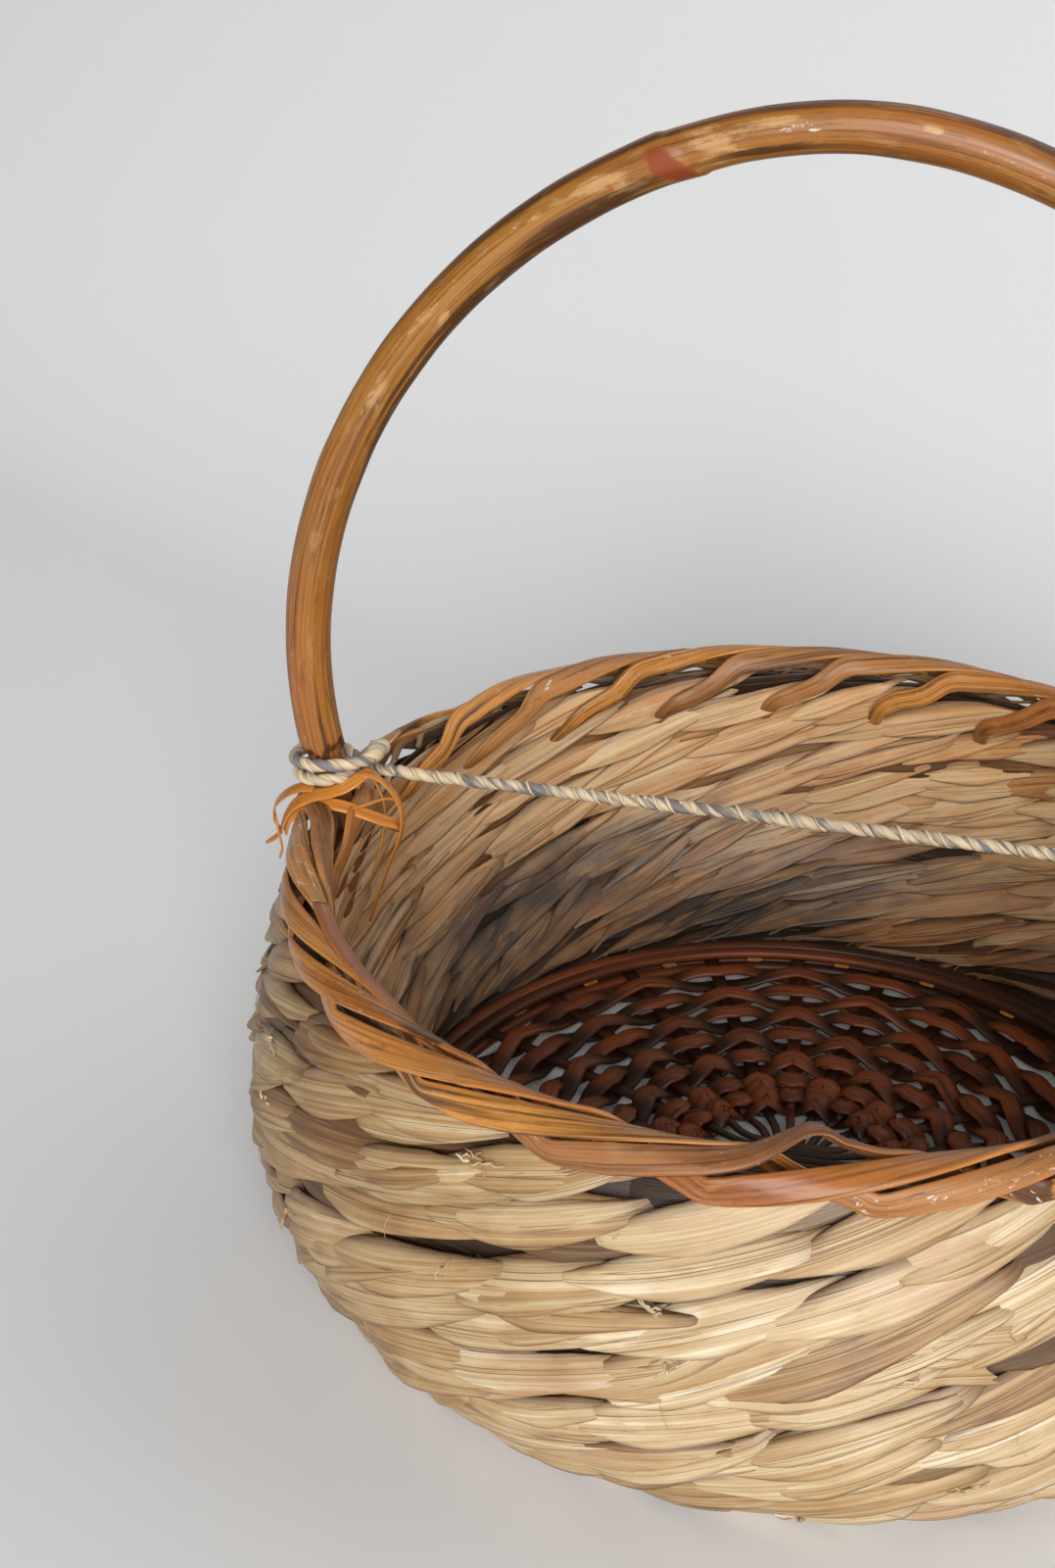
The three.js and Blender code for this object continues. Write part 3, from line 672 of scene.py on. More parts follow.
def blade(rng, row, place, side, reach, width, level, rise, lift, fine=False, loose=0.0, tone=None):
    """A blade of leaf over a stake, as seen from its side of the wall. It comes out at t = -1, at the
    left, and goes under the next one at t = 1, at the right. It narrows to both ends, and its lower
    edge stands off. Its edges, its upper edge most, and its right end are darkened with painted shade,
    where they meet or go under the blades beside them. reach is half its length in places, level its
    height in the row, rise how much higher its right end is, and lift its distance out. A loose one has
    a free and ragged right end, and one with a tone of its own is darkened with painted shade, as if out
    of the light."""
    t = np.sin(np.linspace(-1, 1, 36 if fine else 24) * math.pi / 2)
    q, thick = leaf_section(13 if fine else 8, 4)
    share = (t + 1) / 2
    start, peak = rng.uniform(0.06, 0.24), rng.uniform(-0.45, 0.2)
    wide = np.where(t < peak, start + (1 - start) * ease(t, -1.02 - 0.3 * start, peak), 1)
    fall = np.clip((t - peak) / (1.02 - peak), 0, 1) ** rng.uniform(1.0, 1.7)
    wide = wide * (1 - (0.92 - 0.3 * start) * fall * (1 - loose))
    out = (lift + 0.9 * MM * bell(t + 0.2, 0.5)) * ease(t, -1.0, rng.uniform(-0.86, -0.6))
    wide = width * wide * (1 + wander(rng, share, 6, -0.07, 0.07))
    half = wide[:, None] / 2 * q
    half = half + (wander(rng, share, 18, -0.35, 0.35) * MM)[:, None] * np.maximum(q, 0) ** 4
    bow = rng.uniform(-2.2, 1.6) * MM
    middle = (row + 0.5) * ROW_HEIGHT + level + rise / 2 * t + bow * (1 - t**2)
    lean = math.atan2(rise / 2, reach * PLACE_ANGLE * BELLY_RADIUS)
    up = middle[:, None] + half * math.cos(lean)
    ragged = loose * wander(rng, (q + 1) / 2, 12, -0.1, 0.1)[None, :] * ease(t, 0.85, 1)[:, None]
    run = place + side * reach * (t[:, None] + ragged)
    angle = run * PLACE_ANGLE - side * half * math.sin(lean) / BELLY_RADIUS
    out = out - (lift + 0.4 * MM) * ease(t, rng.uniform(0.5, 0.8), 1.02) * (1 - loose)
    out = out + loose * rng.uniform(0.2, 1.6) * MM * ease(t, 0, 1)
    narrow = (wide / width)[:, None]
    crown = rng.uniform(0.2, 0.9) * MM * (0.4 + 0.6 * narrow) * (1 - q**2)
    tilt = -(rng.uniform(1.2, 2.6) + rng.uniform(-0.8, 0.8) * t[:, None]) * MM * q * narrow
    crease = 0
    for _ in range(rng.integers(1, 4)):
        at = rng.uniform(-0.8, 0.8) + rng.uniform(-0.4, 0.4) * t[:, None]
        crease = crease - rng.uniform(0.2, 0.7) * MM * bell(q - at, rng.uniform(0.07, 0.14)) * narrow**2
    fold = q - rng.uniform(-0.6, 0.6) - rng.uniform(-0.4, 0.4) * t[:, None]
    step = rng.uniform(0.1, 0.7) * MM * ease(fold, -0.06, 0.06) * narrow**2
    away = side * (out[:, None] + crown + tilt + crease + step + thick * sizes().leaf_thickness)
    grid = on_wall(angle, up, away)
    # Painted shade: a blade with a tone of its own, in a gap between stakes, is darkened as if out of the
    # light
    deep = 0.0 if tone is None else rng.uniform(0.1, 0.6)
    if tone is None:
        tone = rng.uniform(0.3, 0.95) if rng.uniform() < 0.92 else rng.uniform(-0.3, 0.3)
    # Painted shade: darker edges, a broad dark band along the upper edge where the row above covers it, and a
    # dark right end where the blade goes under the next
    edge = rng.uniform(0.55, 1.0) * ease(np.abs(q), 0.84, 1.0)[None, :]
    edge = edge * wander(rng, share, 8, 0.3, 1)[:, None]
    edge = np.maximum(edge, rng.uniform(0.5, 0.9) * (1 - loose) * ease(t, 0.5, 1.0)[:, None])
    edge = np.maximum(edge, rng.uniform(0.5, 0.9) * (1 - loose) * ease(q, 0.45, 0.98)[None, :])
    warm = 0.05 if side > 0 else rng.uniform(0.75, 1.0)
    return leaf_skin(rng, grid, half, tone, warm, deep=deep, edge=edge)


def wall_row(row, material):
    """A row: the twisted core, and on each side of the wall a blade over each stake, up to two narrower
    ones over that, and in some of the gaps between stakes one darkened with painted shade. A few broken
    ends stand out."""
    rng = np.random.default_rng(ROW_SEED + row)
    parts = [core(rng, row, which) for which in (0, 1)]
    slant = sizes().leaf_slant
    for place in range(PLACES):
        foot = 0.9 * MM if place in HANDLE_PLACES and row >= TENON_ROW else 0
        for side, nearest, farthest, empty in ((1, 3.3, 4.7, 0.5), (-1, 2.8, 4.3, 0.3)):
            reach = rng.uniform(0.82, 1.1)
            width = sizes().leaf_width * rng.uniform(0.82, 1.16)
            rise = 2 * slant * reach * rng.uniform(0.8, 1.2)
            level = rng.uniform(-1.6, 1.6) * MM
            lift = rng.uniform(nearest, farthest) * MM + foot
            at = place + rng.uniform(-0.16, 0.16)
            parts.append(blade(rng, row, at, side, reach, width, level, rise, lift, fine=True))
            for _ in range(rng.integers(0, 3)):
                over = rng.uniform(-0.36, 0.36) * width
                parts.append(blade(
                    rng, row, at + rng.uniform(-0.3, 0.3), side, reach=rng.uniform(0.5, 0.85),
                    width=rng.uniform(5, 10) * MM, level=level + over, rise=rise * rng.uniform(0.6, 1.1),
                    lift=lift + rng.uniform(0.5, 1.1) * MM,
                ))
            if rng.uniform() < empty:
                continue
            # A blade in a gap between stakes: darker in tone and with painted shade
            parts.append(blade(
                rng, row, place + 0.5 + rng.uniform(-0.15, 0.15), side, reach=rng.uniform(0.75, 0.95),
                width=rng.uniform(11, 15) * MM, level=rng.uniform(-2.5, 2.5) * MM,
                rise=1.6 * slant * rng.uniform(0.7, 1.1), lift=rng.uniform(0.7, 1.6) * MM + foot,
                tone=rng.uniform(-0.9, 0.1),
            ))
    for _ in range(BROKEN_ENDS):
        place = rng.integers(0, PLACES) + rng.uniform(0.2, 0.6)
        parts.append(blade(
            rng, row, place, 1, reach=rng.uniform(0.24, 0.4), width=rng.uniform(4, 7) * MM,
            level=rng.uniform(-3, 3) * MM, rise=rng.uniform(2, 12) * MM, lift=4.8 * MM, loose=1.0,
        ))
    piece(f"wall_row_{row + 1}_leaf", parts, material, "dried_leaf", f"wall_row_{row + 1}")


def loose_fibres(material):
    """Thin hairs that stand off the wall, and small crumpled ends of leaf in tufts."""
    rng = np.random.default_rng(FIBRE_SEED)
    parts = []
    share = np.linspace(0, 1, 9)
    for _ in range(HAIRS):
        angle, up = rng.uniform(0, 2 * math.pi), rng.uniform(0.04, 0.99) * WALL_LENGTH
        reach, drift, fall = rng.uniform(2, 5) * MM, rng.uniform(-0.05, 0.05), rng.uniform(-9, 5) * MM
        away = 4.2 * MM + reach * np.sin(share * rng.uniform(1.2, 2.6))
        line = on_wall(angle + drift * share, up + fall * share**2, away)
        parts.append(tube(line, UP, 0.1 * MM, 0.1 * MM, 4, tone=rng.uniform(0, 1)))
    for _ in range(TUFTS):
        place, up = rng.uniform(0, PLACES), rng.uniform(0.1, 0.97) * WALL_LENGTH
        for _ in range(rng.integers(3, 7)):
            drift = rng.uniform(-0.045, 0.045) + wander(rng, share, 4, -0.006, 0.006)
            fall = rng.uniform(-5, 4) * MM * share + wander(rng, share, 4, -0.8, 0.8) * MM
            away = 5.0 * MM + rng.uniform(0.5, 2.5) * MM * np.sin(share * 2.6)
            line = on_wall(place * PLACE_ANGLE + drift * share, up + rng.uniform(-1, 1) * MM + fall, away)
            face = unit(line * [1, 1, 0]) + rng.uniform(-0.5, 0.5, 3)
            wide = rng.uniform(0.3, 0.9) * MM * (1 - 0.6 * share)
            parts.append(tube(
                line, face, wide, 0.16 * MM, 6, shift=rng.uniform(0, 5), tone=rng.uniform(0.4, 1.3),
                blush=rng.uniform(0, 0.5),
            ))
    piece("loose_fibres", parts, material, "dried_leaf")


# The stakes and the border


def parted(angle):
    """How far the tails are pushed aside at an angle round the basket, by the handle's ends."""
    total = 0
    for place in HANDLE_PLACES:
        total = total + LEG_GAP * bell(turn_to(angle - place * PLACE_ANGLE), 0.4 * PLACE_ANGLE)
    return total


def tail_point(start, places, outward, rise):
    """A point of a tail: places run clockwise from its stake, and distances from the border's centre."""
    angle = start - places * PLACE_ANGLE
    pushed = outward + math.tanh(outward / (2 * MM)) * parted(angle)
    return polar(MOUTH_RADIUS + pushed, angle, BORDER_HEIGHT + rise)


# By the share of a tail: its turn about the border's centre, its radius, and the kink in millimetres
TAIL_ROLL = ((0.25, 0.42, 0.93, 1, 1.16), (2.55, 1.98, 0.03, -0.24, 0.8))
TAIL_RADIUS = ((0, 1, 1.16), (1, 1, 0.48))
TAIL_KINK = ((0.3, 0.417, 0.455, 0.485, 0.57, 0.64), (0, 5.8, 9.4, 9.0, 2.2, 0))


def stake_stations(place, rng):
    """Rows of [point, normal, half width, half thickness] from a stake's foot to the end of its tail.
    The tail's place round the border goes from inside over the top to outside, and its end tucks in
    under the next tail. Its skin leans a little, so that its lower edge lies over its neighbour. One
    tail, at the front, was bent too far and stands up in a kink."""
    start = place * PLACE_ANGLE
    out = np.array([math.cos(start), math.sin(start), 0])
    flat, thin = 3.0 * MM, 1.1 * MM
    rows = [[*polar(WALL_FOOT_RADIUS - 10.5 * MM, start, LAYER_HEIGHT), *UP, flat, thin]]
    for up_share in np.linspace(0, 0.78, 9):
        r, z, out_r, out_z = wall_at(up_share * WALL_LENGTH)
        rows.append([*polar(r, start, z), *-(out * out_r + UP * out_z), flat, thin])
    full, deep = sizes().border_width / 2, sizes().border_thickness / 2
    lean = rng.uniform(0.8, 1.3)
    for places, outward, rise, grow in (
        (0.1, -4.0, -14, 0.1), (0.3 * lean, -6.4, -7.6, 0.4), (0.52, -7.2, -3.0, 0.75),
    ):
        point = tail_point(start, places, outward * MM, rise * MM)
        normal = polar(-1.0, start - places * PLACE_ANGLE, 0.15)
        rows.append([*point, *normal, flat + grow * (full - flat), thin + grow * (deep - thin)])
    steps = 4 * TAIL_PLACES
    wide = full * rng.uniform(0.9, 1.14)
    swell, sink = rng.uniform(-0.5, 0.7) * MM, rng.uniform(-0.8, 0.6) * MM
    twist = rng.uniform(0.06, 0.26)
    kinked = place == KINKED_STAKE
    shares = np.concatenate([np.arange(3, steps + 1) / steps, [1.05, 1.11, 1.16]])
    if kinked:
        shares = np.insert(shares, [3, 3], [0.455, 0.485])
    kinks = np.interp(shares, *TAIL_KINK) * MM * kinked
    radii = BORDER_RADIUS + swell * np.sin(math.pi * np.minimum(shares, 1))
    radii = radii * np.interp(shares, *TAIL_RADIUS)
    for share, roll, radius, kink in zip(shares, np.interp(shares, *TAIL_ROLL), radii, kinks):
        rise = radius * math.sin(roll) + sink * math.sin(math.pi * min(share, 1)) + kink
        point = tail_point(start, share * TAIL_PLACES, radius * math.cos(roll), rise)
        angle = start - share * TAIL_PLACES * PLACE_ANGLE
        normal = polar(math.cos(roll + twist), angle, math.sin(roll + twist))
        end = 1 - 0.35 * ease(share, 0.98, 1.16)
        rows.append([*point, *normal, wide * end, deep])
    return rows


def side_cane_stations(side):
    """A split cane beside a handle end, on top of the border's inner side, whose far end tucks in."""
    start = math.pi * (side < 0) + 1.85 * PLACE_ANGLE
    rows = []
    for share in np.linspace(0, 1, 8):
        angle = start + 2.15 * PLACE_ANGLE * share
        roll = 1.95 + 0.25 * share
        radius = BORDER_RADIUS + 2.6 * MM - 3.4 * MM * ease(share, 0.6, 1)
        height = BORDER_HEIGHT - 0.6 * MM + radius * math.sin(roll)
        point = polar(MOUTH_RADIUS + radius * math.cos(roll), angle, height)
        wide = 3.5 * MM * (0.85 + 0.15 * math.sin(math.pi * share))
        rows.append([*point, *polar(math.cos(roll), angle, math.sin(roll)), wide, 1.2 * MM])
    return rows


def upright_stations(side, offset, top, bottom, lean):
    """A flat cane that stands inside the wall beside a handle end, with its top cut off."""
    rows = []
    for share in np.linspace(0, 1, 7):
        height = bottom + (top - bottom) * share
        angle = math.pi * (side < 0) + offset + lean * share
        radius = float(np.interp(height, WALL[:, 2], WALL[:, 0])) - (4.6 + 1.2 * share) * MM
        rows.append([*polar(radius, angle, height), *-polar(1.0, angle, 0.1), 3.9 * MM, 1.2 * MM])
    return rows


def cane_part(stations, rng, dull, shade=None):
    """The skin of a split cane along its stations: crowned above and flatter below, with one joint."""
    line = curve(stations, 1.5 * MM)
    points, normals, wide, deep = line[:, :3], line[:, 3:6], line[:, 6], line[:, 7]
    along = lengths(points)
    joint = bell(along - rng.uniform(0.5, 0.95) * along[-1], 1.9 * MM)
    wide = wide * (1 + 0.06 * joint + 0.03 * np.sin(along / (11 * MM) + rng.uniform(0, 6)))
    deep = deep * (1 + 0.15 * joint)
    shade = rng.uniform(-0.6, 0.95) if shade is None else shade
    tone = shade + 0.3 * np.sin(along / (37 * MM) + rng.uniform(0, 6))
    after = along - along[np.argmax(joint)]
    marked = rng.uniform() < 0.4
    dusk = marked * (1.3 * bell(after - 6 * MM, 7 * MM) + 2.2 * joint) + rng.uniform(-0.3, 0.4)
    wear = 0.55 * marked * bell(after + 9 * MM, 9 * MM) + rng.uniform(0, 0.25)
    edge = np.abs(np.sin(corner_turns(CANE_SIDES)))[None, :] ** 10
    edge = edge * (0.4 + 0.6 * wander(rng, along / along[-1], 12, 0, 1))[:, None]
    return tube(
        points, normals, wide, deep, CANE_SIDES, under=0.5, square=0.8, shift=rng.uniform(0, 5),
        tone=tone[:, None], bare=dull, dusk=dusk[:, None], wear=wear[:, None],
        chip=rng.uniform(0, 0.75), edge=edge,
    )


def stake_cane(place, material):
    """A stake and its tail."""
    rng = np.random.default_rng(STAKE_SEED + place)
    stations = stake_stations(place, rng)
    dull = rng.uniform(0.45, 0.7) if rng.uniform() < 0.3 else rng.uniform(0, 0.12)
    part = cane_part(stations, rng, dull)
    piece(f"stake_{place:02d}_cane", [part], material, "border_cane", f"stake_{place:02d}")


def side_canes(material):
    """Beside each handle end: four cut off uprights inside the wall, and a cane along the border."""
    for side, name in ((1, "right"), (-1, "left")):
        rng = np.random.default_rng(SIDE_CANE_SEED)
        parts = [cane_part(side_cane_stations(side), rng, 0.1, shade=1.2)]
        for offset, top, bottom, lean in (
            (-0.012, 121, 50, 0.045), (-0.075, 110, 55, -0.02), (-0.14, 104, 62, -0.03), (0.1, 116, 60, 0.02),
        ):
            stations = upright_stations(side, offset, top * MM, bottom * MM, lean)
            parts.append(cane_part(stations, rng, rng.uniform(0.1, 0.6), shade=rng.uniform(0.7, 1.1)))
        piece(f"side_canes_{name}", parts, material, "border_cane")


# The handle


def leg_radius(height):
    """Distance of a leg's centre line from the middle: H - i ((s - z) / (s - b))^2 below the arch."""
    share = (HANDLE_SPRING - height) / (HANDLE_SPRING - LEG_BOTTOM)
    return HANDLE_HALF_SPAN - LEG_INSET * share**2


def handle_line():
    """The handle's centre line from the left leg's tip to the right one's, at equal steps:
    |x / H|^e + |(z - s) / R|^e = 1 above the springing height s, and the leaning legs below it."""
    turn = np.linspace(0, math.pi / 2, 400)
    x = HANDLE_HALF_SPAN * np.sin(turn) ** (2 / HANDLE_EXPONENT)
    z = HANDLE_SPRING + HANDLE_RISE * np.maximum(np.cos(turn), 0) ** (2 / HANDLE_EXPONENT)
    low = np.linspace(HANDLE_SPRING, LEG_TIP, 60)[1:]
    x = np.concatenate([x, np.maximum(leg_radius(low), MOUTH_RADIUS + 0.9 * MM)])
    z = np.concatenate([z, low])
    x, z = np.concatenate([-x[::-1], x[1:]]), np.concatenate([z[::-1], z[1:]])
    return spaced(np.stack([x, 0 * x, z], axis=1), 1.6 * MM)


# Spots of the handle's skin: millimetres left of the joint, half length in millimetres, turn round the
# cane, half width in radians, and strength
WEAR_SPOTS = (
    (24, 9, FRONT - 0.1, 0.5, 1.05), (15, 5, FRONT + 0.5, 0.5, 1.2), (-9, 10, FRONT + 0.1, 1.7, 1.15),
    (-28, 13, FRONT - 0.5, 0.45, 0.95), (45, 28, FRONT - 0.35, 0.3, 0.75), (95, 30, FRONT - 0.3, 0.35, 0.65),
    (88, 4, FRONT + 0.5, 0.3, 1.2), (150, 40, FRONT - 0.2, 0.4, 0.5), (-70, 5, FRONT - 0.4, 0.25, 1.1),
    (230, 30, FRONT + 0.2, 0.35, 0.5), (-200, 30, FRONT, 0.5, 0.8), (-120, 25, OUTSIDE, 0.6, 0.7),
    (40, 30, 0, 0.6, 0.8), (-60, 40, 0, 0.5, 0.7), (160, 30, 0, 0.6, 0.7), (120, 9, FRONT + 0.2, 0.5, 0.9),
)
SCUFF_SPOTS = (
    (-36, 10, FRONT - 0.25, 0.3, 0.95), (-88, 22, FRONT - 0.1, 0.22, 0.85), (62, 3, FRONT + 0.7, 0.3, 0.9),
    (60, 30, FRONT - 0.35, 0.2, 0.5), (230, 40, FRONT - 0.3, 0.3, 0.45), (-150, 30, OUTSIDE, 0.4, 0.6),
)
DARK_SPOTS = (
    (34, 20, INSIDE - 0.5, 0.75, 2.6), (74, 24, INSIDE - 0.35, 0.6, 2.2), (125, 26, INSIDE - 0.2, 0.5, 1.5),
    (40, 60, OUTSIDE + 0.1, 0.45, 1.3), (-36, 24, OUTSIDE + 0.1, 0.4, 1.1),
    (-110, 40, OUTSIDE + 0.15, 0.45, 1.5), (-24, 12, FRONT + 0.6, 0.3, 1.0), (-60, 30, FRONT + 0.9, 0.3, 0.7),
    (180, 60, OUTSIDE, 0.5, 0.9), (290, 60, FRONT + 0.5, 0.3, 0.8), (-60, 30, 0, 0.6, 1.0),
    (90, 40, -0.3, 0.6, 1.1), (-160, 60, INSIDE, 0.6, 0.9),
)


def spots(left, turn, places):
    """The sum of soft oval spots, for distances left of the joint and turns round the cane."""
    total = np.zeros((len(left), len(turn)))
    for centre, long, side, wide, strength in places:
        spot = bell(left - centre * MM, long * MM)[:, None] * bell(turn_to(turn - side), wide)[None, :]
        total = total + strength * spot
    return total


def handle_cane(material):
    """The bent cane: round, slightly uneven, with a stepped joint and a smaller one low on the right,
    and whittled where its skin ends."""
    line = handle_line()
    along = lengths(line)
    joint = along[np.argmin(np.abs(line[:, 0] - JOINT_X) + (line[:, 2] < HANDLE_SPRING))]
    rng = np.random.default_rng(HANDLE_SEED)
    turn = corner_turns(HANDLE_SIDES)
    bow = wander(rng, along / along[-1], 9, -0.7, 0.7) * MM
    line = line + np.stack([0 * bow, bow * ease(line[:, 2], 150 * MM, 200 * MM), 0 * bow], axis=1)
    slant = joint + (4.6 * MM * np.cos(turn - INSIDE) + 0.5 * MM * np.sin(3 * turn + 1))[None, :]
    after = along[:, None] - slant
    relief = 0.5 * MM * bell(after, 9 * MM)
    relief = relief - 0.6 * MM * ease(after, -0.3 * MM, 0.4 * MM) * bell(after, 16 * MM)
    other = along[:, None] - (along[-1] - joint + 150 * MM)
    relief = relief + 0.45 * MM * bell(other, 7 * MM)
    relief = relief - 0.4 * MM * ease(other, -0.4 * MM, 0.4 * MM) * bell(other, 12 * MM)
    uneven = wander(rng, along / along[-1], 46, -0.15, 0.15) * MM
    relief = relief + uneven[:, None] + 0.12 * MM * np.sin(2 * turn + 3)[None, :]
    jag = SKIN_END + 1.4 * MM * np.sin(3 * turn + 1) + 1.0 * MM * np.sin(7 * turn)
    below = ease(jag[None, :] - line[:, 2:3], -0.2 * MM, 0.5 * MM)
    tip = ease(SKIN_END - line[:, 2], 4 * MM, SKIN_END - LEG_TIP)
    relief = relief - 1.7 * MM * below + 0.5 * MM * tip[:, None]
    wear, chip, dusk = (
        spots(joint - along, turn, places) for places in (WEAR_SPOTS, SCUFF_SPOTS, DARK_SPOTS)
    )
    # Painted shade: a dark band just below the skin's jagged end, in the step where the core is recessed
    dusk = dusk + 3 * bell(line[:, 2:3] - jag[None, :] + 0.4 * MM, 0.9 * MM)
    dusk = dusk + 1.3 * bell(other - 2 * MM, 3 * MM)
    red = 1.3 * bell(after + 4.4 * MM, 5.2 * MM) * bell(turn_to(turn - FRONT - 0.35), 1.0)
    red = red * ease(-after, -0.2 * MM, 0.2 * MM)
    tone = 0.15 + 0.25 * np.sin(along / (45 * MM))[:, None] + 0.5 * below
    part = tube(
        line, BACK, HANDLE_RADIUS, HANDLE_RADIUS, HANDLE_SIDES, shift=2.0, tone=tone, bare=0.1 * below,
        dusk=dusk, wear=wear - 3 * red, chip=chip, red=red,
    )
    out = unit(part["points"] - np.repeat(line, HANDLE_SIDES, axis=0))
    part["points"] = part["points"] + out * relief.reshape(-1, 1)
    piece("handle_cane", [part], material, "handle_cane", "handle_bow")


# The cord and the lashings


def cord_route():
    """The cord's centre line: loops down the right leg, out under the bight, across, and the same at
    the left leg. Its given points are those of the CAD model."""
    reach = HANDLE_RADIUS + CORD_LEG_GAP + CORD_DIAMETER / 2
    turns = np.arange(int(CORD_TURNS * 24) + 1) / 24
    turn = 2 * math.pi * turns
    height = CORD_TOP - CORD_PITCH * turns
    inside = np.where((np.cos(turn) > 0) & (turns < 0.5), CORD_BIGHT, reach)
    loops = np.stack([leg_radius(height) - inside * np.cos(turn), reach * np.sin(turn), height], axis=1)
    stub = loops[:1] + [[0, -1.5 * CORD_DIAMETER, 0]]
    last, under_bight = loops[-1], CORD_TOP - CORD_PITCH
    climb = under_bight - last[2]
    out = [
        [last[0] - a * CORD_OUT, last[1] + b * CORD_OUT_SIDE, last[2] + c * climb]
        for a, b, c in ((0.25, 0.185, -0.02), (0.41, 0.48, 0.27), (0.56, 0.78, 0.63), (0.75, 1, 0.97))
    ]
    end = [last[0] - CORD_OUT, 0, under_bight]
    right = np.concatenate([stub, loops, out, [end]])
    sag = end[2] - CORD_MIDDLE_HEIGHT
    middle = [[s * end[0], 0, CORD_MIDDLE_HEIGHT + sag * s * s] for s in (0.5, 0, -0.5)]
    left = right[::-1] * [-1, -1, 1]
    return curve(np.concatenate([right, middle, left]), 0.7 * MM)


def tie_cord(material):
    """Two plies wound about the route, with a few fibres that stand off. Each ply's centre is
    P + r (N cos a + B sin a), a = 2 pi s / lay, with a little wander. Its cut ends splay out."""
    line = cord_route()
    rng = np.random.default_rng(CORD_SEED)
    along = lengths(line)
    tangent = unit(np.gradient(line, axis=0))
    normal = unit(UP - tangent * tangent[:, 2:3])
    side = np.cross(tangent, normal)
    share = along / along[-1]
    lay = 2 * math.pi * along / CORD_LAY + wander(rng, share, 40, -0.8, 0.8)
    splay = 1 + 0.7 * (bell(along - 1 * MM, 7 * MM) + bell(along[-1] - 1 * MM - along, 7 * MM))
    parts = []
    for ply in (0, 1):
        a = (lay + ply * math.pi)[:, None]
        out = normal * np.cos(a) + side * np.sin(a)
        full = splay * (1 + wander(rng, share, 90, -0.16, 0.16))
        centre = line + out * (PLY_OUT * splay)[:, None]
        tone = wander(rng, share, 26, -0.25, 0.55)
        parts.append(tube(
            centre, out, PLY_HALF_WIDTH * full, PLY_HALF_THICKNESS * full, 12, shift=ply * 3.0,
            tone=tone[:, None],
        ))
    for _ in range(CORD_FIBRES):
        start = rng.integers(40, len(line) - 60)
        some = line[start : start + rng.integers(10, 34)]
        turn = 2 * math.pi * lengths(some) / (9 * MM) + rng.uniform(0, 6)
        part_of = slice(start, start + len(some))
        out = normal[part_of] * np.cos(turn)[:, None] + side[part_of] * np.sin(turn)[:, None]
        away = 2.1 * MM + rng.uniform(0, 0.7) * MM * ease(lengths(some) / lengths(some)[-1])
        centre = some + out * away[:, None]
        tone = rng.uniform(-0.3, 0.3)
        parts.append(tube(centre, out, 0.6 * MM, 0.2 * MM, 6, shift=rng.uniform(0, 5), tone=tone))
    cord = piece("tie_cord_twist", parts, material, "leaf_cord", "tie_cord")


# The split canes at a handle end, for the left one: rows of x, y, z and half width in millimetres
OVER_BAND = (
    (-180.6, -6.5, 116.0, 2.1), (-178.2, -7.5, 122.4, 2.5), (-174.0, -9.0, 128.4, 2.6),
    (-167.3, -10.0, 132.9, 2.6), (-161.0, -10.0, 135.2, 2.6), (-155.6, -9.4, 137.6, 2.5),
    (-151.2, -6.6, 140.4, 2.2), (-148.6, -2.4, 141.6, 1.6),
)
FRONT_BAND = (
    (-178.4, -8.0, 116.6, 1.9), (-175.6, -9.4, 123.4, 2.2), (-168.6, -10.6, 128.9, 2.3),
    (-162.4, -10.6, 130.9, 2.3), (-156.4, -10.2, 130.6, 2.3), (-149.3, -8.6, 128.0, 2.2),
    (-143.6, -6.8, 125.4, 2.1), (-139.6, -4.0, 123.0, 2.0), (-140.5, 1.0, 119.0, 1.9),
    (-146.5, 6.0, 116.5, 1.8), (-154.0, 8.0, 118.0, 1.6),
)
HANGING_LOOP = (
    (-152.6, -7.6, 137.0, 1.5), (-150.6, -6.0, 141.0, 1.5), (-147.0, -4.4, 140.4, 1.5),
    (-143.4, -3.4, 137.6, 1.5), (-140.2, -3.2, 133.8, 1.5), (-138.2, -3.0, 129.0, 1.4),
    (-137.8, -3.0, 124.6, 1.4), (-138.2, -3.0, 120.0, 1.3), (-139.8, -3.0, 114.6, 1.2),
    (-142.4, -2.4, 108.6, 1.1), (-144.9, -2.0, 101.4, 1.0), (-147.4, -2.0, 94.0, 0.9),
    (-151.2, -2.0, 82.0, 0.8),
)
OUTER_TAIL = (
    (-167.0, -9.0, 135.4, 1.6), (-172.6, -7.4, 134.0, 2.2), (-178.6, -5.6, 130.0, 2.6),
    (-183.0, -4.6, 124.6, 2.8), (-183.6, -4.4, 119.0, 2.4), (-181.8, -4.6, 115.0, 1.8),
    (-183.4, -4.4, 112.2, 1.4), (-187.4, -4.0, 108.9, 0.7),
)
FRAY = (
    (-183.0, -5.0, 121.0, 1.0), (-181.6, -6.6, 115.6, 1.1), (-180.4, -7.2, 109.6, 0.8),
    (-181.6, -7.0, 105.4, 0.4),
)
THIN_FIBRE = (
    (-155.0, -9.6, 129.0, 0.4), (-149.0, -9.0, 131.4, 0.5), (-143.0, -5.0, 132.6, 0.5),
    (-139.0, -2.6, 131.4, 0.4),
)
BACK_BAND = (
    (-181.0, 6.0, 114.0, 2.2), (-177.4, 8.0, 124.0, 2.5), (-169.0, 10.0, 131.4, 2.6),
    (-160.0, 10.0, 134.0, 2.6), (-152.0, 8.6, 132.0, 2.4), (-147.4, 6.0, 124.0, 2.0),
    (-147.6, 3.0, 112.0, 1.6), (-150.4, 1.0, 100.0, 1.2),
)


